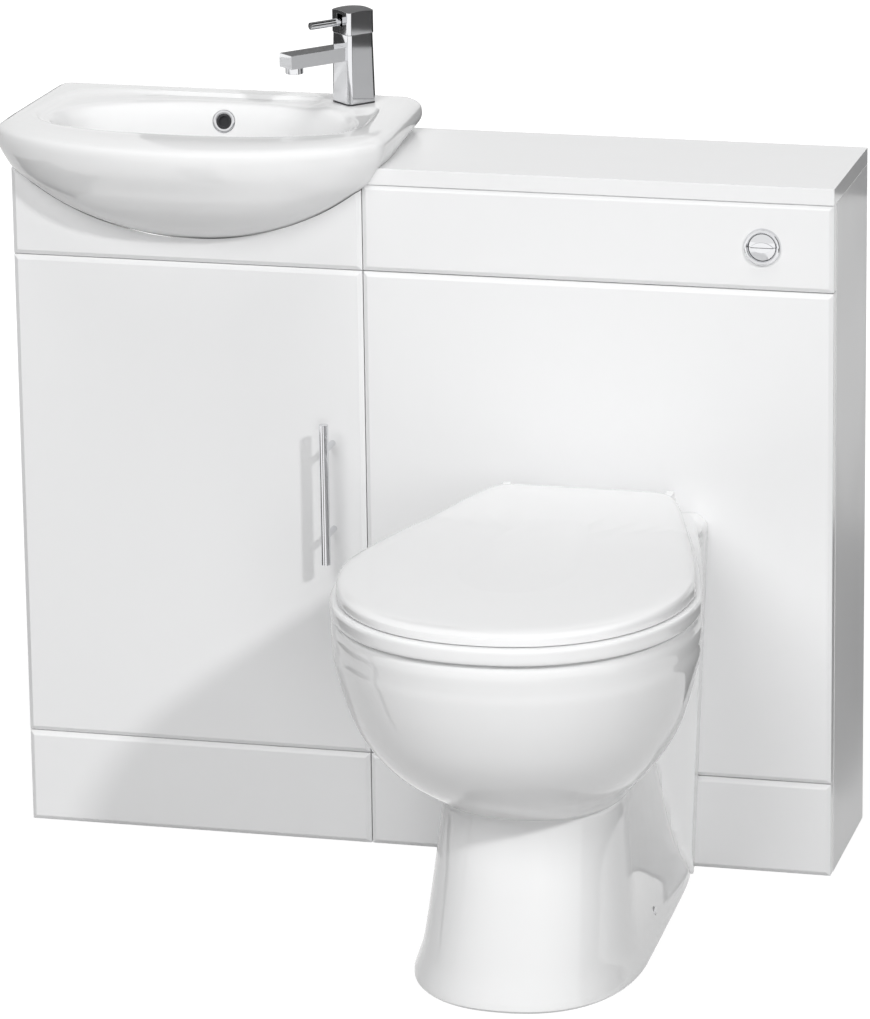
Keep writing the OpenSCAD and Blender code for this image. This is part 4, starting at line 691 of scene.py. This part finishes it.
# %% Stack the pan's outlines
pan_rings = [pan_ring(*r) for r in (
    (0, FOOT_HW - 3, FOOT_L - 3, FOOT_Y, 0.08, 12, 2.3),
    (3, FOOT_HW, FOOT_L, FOOT_Y, 0.08, 12, 2.3),
    (14, FOOT_HW - 3, FOOT_L - 5, FOOT_Y, 0.09, 12, 2.3),
    (30, FOOT_HW - 8, FOOT_L - 14, FOOT_Y, 0.13, 11, 2.3),
    (60, FOOT_HW - 13, FOOT_L - 27, FOOT_Y, 0.18, 10, 2.3),
    (100, FOOT_HW - 17, FOOT_L - 43, FOOT_Y - 8, 0.235, 9, 2.3),
    (LOW_Z - 30, FOOT_HW - 21, FOOT_L - 58, FOOT_Y - 14, 0.29, 8, 2.3),
    (LOW_Z, FOOT_HW - 24, FOOT_L - 70, FOOT_Y - 20, 0.31, 7, 2.3),
    (LOW_Z + 12, FOOT_HW - 26, FOOT_L - 74, FOOT_Y - 20, 0.31, 7, 2.3),
    (LOW_Z + 18, FOOT_HW - 20, FOOT_L - 58, FOOT_Y - 14, 0.33, 6, 2.2),
    (LOW_Z + 34, PAN_HW - 78, PAN_L - 122, WIDE_Y - 55, 0.48, 4, 2.1),
    (LOW_Z + 60, PAN_HW - 57, PAN_L - 78, WIDE_Y - 26, 0.57, 3.5, 2.1),
    (LOW_Z + 86, PAN_HW - 38, PAN_L - 48, WIDE_Y - 12, 0.6, 3.2, 2.1),
    (LOW_Z + 116, PAN_HW - 22, PAN_L - 25, WIDE_Y - 4, 0.6, 3.2, 2.1),
    (PAN_H - 78, PAN_HW - 10, PAN_L - 10, WIDE_Y, 0.58, 3.2, 2.1),
    (PAN_H - 40, PAN_HW - 1, PAN_L - 2, WIDE_Y, 0.5, 3.6, 2.1),
    (PAN_H - 30, PAN_HW - 0.6, PAN_L - 1.4, WIDE_Y, 0.475, 4.1, 2.1),
    (PAN_H - 22, PAN_HW - 0.3, PAN_L - 0.7, WIDE_Y, 0.445, 4.9, 2.1),
    (PAN_H - 10, PAN_HW, PAN_L, WIDE_Y, 0.4, 6, 2.1),
    (PAN_H - 3, PAN_HW - 2.5, PAN_L - 3, WIDE_Y, 0.39, 7, 2.1),
    (PAN_H, PAN_HW - 8, PAN_L - 9, WIDE_Y, 0.38, 7, 2.1))]
pan = skin("pan_ceramic", at_x(flow(pan_rings), PAN_X))
print("pan skin:", len(pan.data.polygons), "faces")

# %% [markdown]
# ### The hollows of the casting
# A real pan is a shell: open under the foot, open at the back, with a bowl inside and a trap that dips
# and rises behind it before it leaves through the spigot. They are cut in the order of the casting.

# %% Cut and join the pan's inner forms
def foot_ring(z, less, ahead, yw, k, er):
    return soft_d(FOOT_HW - less, -UNIT_D - yw, FACE_Y + 12, -UNIT_D - FOOT_L + ahead, er, 2.3, k, z, 1.1)


def cavity_ring(z, hw, ahead, back, yw):
    return soft_d(hw, -UNIT_D - yw, -UNIT_D - back, -UNIT_D - ahead, 2.1, 2.1, 0, z)


def trap_tube(diameter):
    points = np.array([(-326, 182), (-290, 156), (-250, 118), (-194, 108), (-176, 146), (-134, 192), (-97, 215),
                       (-52, 194), (-21, 185)], float)
    rings, angles = [], np.linspace(0, 2 * math.pi, 49)[:-1]
    for i, p in enumerate(points):
        v = points[min(i + 1, len(points) - 1)] - points[max(i - 1, 0)]
        u = v / np.linalg.norm(v)
        r = diameter / 2
        rings.append(np.stack([r * np.cos(angles), -UNIT_D + p[0] + u[1] * r * np.sin(angles),
                               p[1] - u[0] * r * np.sin(angles)], 1))
    return skin("trap", at_x(flow(rings, 8), PAN_X))


bowl_y = WIDE_Y - 14
under = [foot_ring(*r) for r in (
    (-1, 14, 15, FOOT_Y, 0.12, 8), (30, 22, 29, FOOT_Y, 0.24, 6), (60, 27, 42, FOOT_Y, 0.34, 5),
    (90, 31, 54, FOOT_Y - 8, 0.42, 4), (LOW_Z - 50, 39, 75, FOOT_Y - 14, 0.44, 4),
    (LOW_Z - 31, 47, 97, FOOT_Y - 14, 0.46, 4))]
combine(pan, skin("under", at_x(flow(under), PAN_X)), "DIFFERENCE")
half = [(0.27, 1), (0.27, -28), (0.38, -56), (0.46, -112)]
chamber = [(PAN_X + w * BACK_HW, FACE_Y + y) for w, y in half]
chamber += [(PAN_X - w * BACK_HW, FACE_Y + y) for w, y in half[::-1]]
combine(pan, upright(chamber, LOW_Z - 70, PAN_H - 28), "DIFFERENCE")
recess = [(-FOOT_HW + 27, -1), (FOOT_HW - 27, -1), (BACK_HW - 14, PAN_H - 30), (-BACK_HW + 14, PAN_H - 30)]
combine(pan, level([(PAN_X + x, z) for x, z in recess], FACE_Y + 1, FACE_Y - FLANGE + 10), "DIFFERENCE")
for start, axis, diameter, length in (
        ((PAN_X, FACE_Y - 60, OUTLET_Z), (0, 1, 0), 102, 108.3),
        ((PAN_X, FACE_Y - 113, INLET_Z), (0, 1, 0), 62, 111)):
    combine(pan, rod(start, axis, diameter, length), "UNION")
combine(pan, trap_tube(86), "UNION")
bowl = [cavity_ring(*r) for r in (
    (LOW_Z - 16, 34, bowl_y - 10, bowl_y - 100, bowl_y - 56),
    (LOW_Z + 4, 68, bowl_y + 18, bowl_y - 118, bowl_y - 52),
    (LOW_Z + 36, 96, bowl_y + 70, bowl_y - 138, bowl_y - 40),
    (LOW_Z + 62, PAN_HW - 70, PAN_L - 108, bowl_y - 156, bowl_y - 26),
    (LOW_Z + 88, PAN_HW - 50, PAN_L - 74, bowl_y - 174, bowl_y - 14),
    (LOW_Z + 118, PAN_HW - 35, PAN_L - 47, bowl_y - 190, bowl_y),
    (PAN_H - 76, PAN_HW - 26, PAN_L - 30, bowl_y - 204, bowl_y),
    (PAN_H - 44, PAN_HW - 24, PAN_L - 26, bowl_y - 206, bowl_y),
    (PAN_H - 36, PAN_HW - 31, PAN_L - 33, bowl_y - 206, bowl_y),
    (PAN_H - 32, PAN_HW - 43, PAN_L - 45, bowl_y - 206, bowl_y),
    (PAN_H - 26, PAN_HW - 47, PAN_L - 49, bowl_y - 206, bowl_y),
    (PAN_H - 8, PAN_HW - 49, PAN_L - 51, bowl_y - 204, bowl_y),
    (PAN_H - 2, PAN_HW - 48, PAN_L - 50, bowl_y - 204.5, bowl_y),
    (PAN_H + 1, PAN_HW - 45, PAN_L - 47, bowl_y - 207, bowl_y))]
combine(pan, skin("bowl", at_x(flow(bowl), PAN_X)), "DIFFERENCE")
combine(pan, trap_tube(70), "DIFFERENCE")
print("pan with its bowl:", len(pan.data.polygons), "faces")

# %% Drill the pan
SIDE_HOLE_Y, SIDE_HOLE_Z, SEAT_SPAN = -UNIT_D - 0.46 * FOOT_L, 28, 155
drill = [((PAN_X, FACE_Y - 40, OUTLET_Z), (0, 1, 0), 84, 200), ((PAN_X, FACE_Y - 170, INLET_Z), (0, 1, 0), 34, 171),
         ((PAN_X, FACE_Y - 24, INLET_Z), (0, 1, 0), 48, 30)]
for s in (-1, 1):
    drill += [((PAN_X + s * SEAT_SPAN / 2, HINGE_Y, PAN_H - 90), (0, 0, 1), 30, 64),
              ((PAN_X + s * SEAT_SPAN / 2, HINGE_Y, PAN_H - 28), (0, 0, 1), 14, 30),
              ((PAN_X + s * FOOT_HW - 30, SIDE_HOLE_Y, SIDE_HOLE_Z), (1, 0, 0), 9, 60)]
for start, axis, diameter, length in drill:
    combine(pan, rod(start, axis, diameter, length, 48), "DIFFERENCE")
place(smooth(pan), "pan")
print("pan finished:", len(pan.data.polygons), "faces")

# %% [markdown]
# ## The seat and the lid
# Both share the outline of the rim. The seat is a ring with a rolled outer edge and a dished inner
# edge. The lid is a soft wrap-over form: its top falls a little from the front to a shallow valley and
# rises again to the hinge, which gives the faint crease across it.

# %% Seat and lid outlines
SEAT_Z, SEAT_T = 403, 17
LID_Z, LID_T = 421, 17
HINGE_Z = PAN_H + 3 + SEAT_T * 0.78


def seat_ring(z, inset, k=0.46):
    return soft_d(PAN_HW - inset, -UNIT_D - WIDE_Y, HINGE_Y - 12 - inset,
                  -UNIT_D - PAN_L - 3 + inset, 16, 2.15, k, z,
                  count=80)


def hole_ring(z, inset):
    return soft_d(107 - inset, -UNIT_D - WIDE_Y + 4, -UNIT_D - WIDE_Y + 176 - inset,
                  -UNIT_D - PAN_L + 62 + inset, 2.4, 2.1, 0.12, z)


def lid_top(y):
    u = (y + UNIT_D + 190) / 190
    rise = np.where(u > 0, 4 * np.minimum(u, 0.8), 4 * (1 - (1 + np.maximum(u, -1)) ** 2) - 2 * u ** 2)
    return LID_Z + LID_T + rise


def lid_ring(inset, drop):
    ring = seat_ring(0, inset)
    ring[:, 2] = lid_top(ring[:, 1]) - drop
    return ring


def knuckles(piece, offset, width, arm):
    """Adds a pair of hinge knuckles and their arms, then bores them for the pin."""
    for s in (-1, 1):
        x = PAN_X + s * offset
        combine(piece, rod((x - width / 2, HINGE_Y, HINGE_Z), (1, 0, 0), 16, width), "UNION")
        for low, high in arm:
            corners = (x - width / 2, HINGE_Y + low[0], low[1]), (x + width / 2, HINGE_Y + high[0], high[1])
            combine(piece, block(*corners), "UNION")
    for s in (-1, 1):
        combine(piece, rod((PAN_X + s * offset - 10, HINGE_Y, HINGE_Z), (1, 0, 0), 8.1, 20), "DIFFERENCE")


# %% Make the seat
top = SEAT_Z + SEAT_T
seat = skin("seat_ring", at_x(flow([
    seat_ring(SEAT_Z, 2.4), seat_ring(SEAT_Z + 0.8, 1), seat_ring(SEAT_Z + 3, 0.3), seat_ring(SEAT_Z + 9, 0),
    seat_ring(top - 3, 0), seat_ring(top - 1, 0.8), seat_ring(top - 0.25, 2.2), seat_ring(top, 5)], 2), PAN_X))
combine(seat, skin("hole", at_x(flow([
    hole_ring(SEAT_Z - 1, -1), hole_ring(SEAT_Z + 1.5, 0.4), hole_ring(SEAT_Z + 6, 0), hole_ring(top - 5, -1),
    hole_ring(top - 1.8, -4), hole_ring(top - 0.4, -8), hole_ring(top + 1, -14)], 2), PAN_X)), "DIFFERENCE")
knuckles(seat, SEAT_SPAN / 2 - 22, 14, [((-26, SEAT_Z + 2), (0, SEAT_Z + SEAT_T - 2))])
place(smooth(seat, SMOOTH_DEGREES), "seat")
print("seat:", len(seat.data.polygons), "faces")

# %% Make the lid
lid = skin("lid_cover", at_x(flow([
    seat_ring(LID_Z, 8), seat_ring(LID_Z + 0.7, 6.9), seat_ring(LID_Z + 3, 6.5),
    seat_ring(LID_Z + LID_T * 0.5, 6.5),
    lid_ring(7.4, 4.6), lid_ring(10.5, 2.3), lid_ring(15, 0.9), lid_ring(21, 0.25), lid_ring(30, 0),
    lid_ring(56, 0),
    lid_ring(90, 0), lid_ring(130, 0)], 4), PAN_X))
lid_arm = [((-40, LID_Z + 0.5), (0, LID_Z + LID_T - 4.5)), ((-5, HINGE_Z), (5, LID_Z + 4))]
knuckles(lid, SEAT_SPAN / 2 + 11, 8, lid_arm)
place(smooth(lid, SMOOTH_DEGREES), "lid")
print("lid:", len(lid.data.polygons), "faces")

# %% [markdown]
# ## The studio
# A white floor that fades into a white surround, a broad soft light in front and above, and a smaller
# key from the upper right, which throws the pan's soft shadow on the cabinet door. Chrome only looks
# like chrome if it has something dark to reflect, so a few dark cards stand round the unit. They are
# hidden from the camera and cast no shadow: only reflections see them.

# %% Surround and floor
def looking_ray(tree):
    """1 for a ray from the camera, a mirror or glass, 0 for a ray that lights."""
    seen = node(tree, "LightPath")
    either = node(tree, "Math", [(seen.outputs["Is Camera Ray"], 0), (seen.outputs["Is Glossy Ray"], 1)],
                  operation="MAXIMUM")
    any_ray = node(tree, "Math", [(either.outputs[0], 0), (seen.outputs["Is Transmission Ray"], 1)],
                   operation="MAXIMUM")
    return any_ray.outputs[0]


world = bpy.data.worlds.new("surround")
bpy.context.scene.world = world
world.use_nodes = True
tree = world.node_tree
AMBIENT = 0.14
strength = node(tree, "MapRange", [(looking_ray(tree), "Value")])
strength.inputs["To Min"].default_value = AMBIENT
strength.inputs["To Max"].default_value = 1.0
tree.links.new(strength.outputs[0], tree.nodes["Background"].inputs["Strength"])
tree.nodes["Background"].inputs["Color"].default_value = (1, 1, 1, 1)
bpy.context.scene.view_settings.view_transform = "Standard"

FLOOR_R, FLOOR_SIDES = 9000, 96
round_floor = [(FLOOR_R * math.cos(a), FLOOR_R * math.sin(a), -0.5)
               for a in np.linspace(0, 2 * math.pi, FLOOR_SIDES + 1)[:-1]]
floor = mesh_piece("floor", round_floor, [list(range(FLOOR_SIDES))])
paper = bpy.data.materials.new("paper_floor")
paper.use_nodes = True
tree = paper.node_tree
tree.nodes["Principled BSDF"].inputs["Roughness"].default_value = 0.9
tree.nodes["Principled BSDF"].inputs["Base Color"].default_value = (0.42, 0.42, 0.42, 1)
glow = node(tree, "Emission")
glow.inputs["Strength"].default_value = 1.2
middle = node(tree, "TexCoord")
apart = node(tree, "VectorMath", [(middle.outputs["Object"], 0)], operation="LENGTH")
fade = node(tree, "MapRange", [(apart.outputs["Value"], "Value")])
fade.inputs["From Min"].default_value, fade.inputs["From Max"].default_value = 0.6, 2.2
fade.inputs["To Min"].default_value, fade.inputs["To Max"].default_value = 0.8, 1.0
amount = node(tree, "Math", [(fade.outputs[0], 0), (looking_ray(tree), 1)], operation="MULTIPLY")
matt = tree.nodes["Principled BSDF"]
mixed = node(tree, "MixShader", [(amount.outputs[0], 0), (matt.outputs[0], 1), (glow.outputs[0], 2)])
tree.links.new(mixed.outputs[0], tree.nodes["Material Output"].inputs["Surface"])
floor.data.materials.append(paper)
print("floor and surround ready")

# %% Lamps
def lamp(name, place_at, aim, size, power):
    data = bpy.data.lights.new(name, "AREA")
    data.shape, data.size, data.energy = "DISK", size, power
    made = bpy.data.objects.new(name, data)
    made.location = place_at
    made.rotation_euler = (Vector(aim) - Vector(place_at)).to_track_quat("-Z", "Y").to_euler()
    made.visible_glossy = False
    bpy.context.scene.collection.objects.link(made)


lamp("soft_front", (-1.2, -7.8, 6.0), (0, -0.3, 0.4), 4.2, 330)
lamp("low_fill", (2.6, -8.0, 1.6), (0.2, -0.3, 0.4), 3.0, 105)
lamp("key", (5.22, -6.41, 5.38), (0.1, -0.3, 0.4), 0.6, 280)
lamp("overhead", (0.3, -1.4, 5.6), (0.1, -0.3, 0.5), 2.2, 62)
lamp("back_fill", (0.3, 6.0, 4.0), (0.1, 0, 0.4), 3.0, 110)

# %% Dark cards that only reflections see
def card_paper(shade):
    paper = bpy.data.materials.new("card_paper")
    paper.use_nodes = True
    surface = paper.node_tree.nodes["Principled BSDF"]
    surface.inputs["Base Color"].default_value = (shade, shade, shade, 1)
    surface.inputs["Roughness"].default_value = 1.0
    return paper


BLACK, GREY = card_paper(0.02), card_paper(0.2)
CARDS = {
    "card_right": (GREY, [(1600, -900, 20), (1600, 1500, 20), (1600, 1500, 1700), (1600, -900, 1700)]),
    "card_left": (BLACK, [(-310, -770, 20), (-145, -730, 20), (-145, -730, 520), (-310, -770, 520)]),
    "card_behind": (BLACK, [(560, 60, 4), (2600, 60, 4), (2600, 1100, 4), (560, 1100, 4)]),
    "card_floor_left": (BLACK, [(-1700, -700, 4), (-800, -700, 4), (-800, 300, 4), (-1700, 300, 4)]),
    "card_floor_right": (BLACK, [(1150, -2700, 4), (2500, -2700, 4), (2500, -1400, 4), (1150, -1400, 4)]),
    "card_wall": (BLACK, [(-1200, 25, 700), (1100, 25, 700), (1100, 1500, 700), (-1200, 1500, 700)]),
    "card_tap": (GREY, [(-320, 40, 868), (20, 40, 868), (20, 40, 1300), (-320, 40, 1300)]),
    "card_over": (BLACK, [(200, -200, 1700), (900, -200, 1700), (900, 500, 1700), (200, 500, 1700)]),
}
for name, (paper_of, corners) in CARDS.items():
    card = mesh_piece(name, corners, [(0, 1, 2, 3)])
    card.data.materials.append(paper_of)
    card.visible_camera = card.visible_diffuse = card.visible_shadow = False
print(len(CARDS), "cards")

# %% End of the scene
print("scene built")
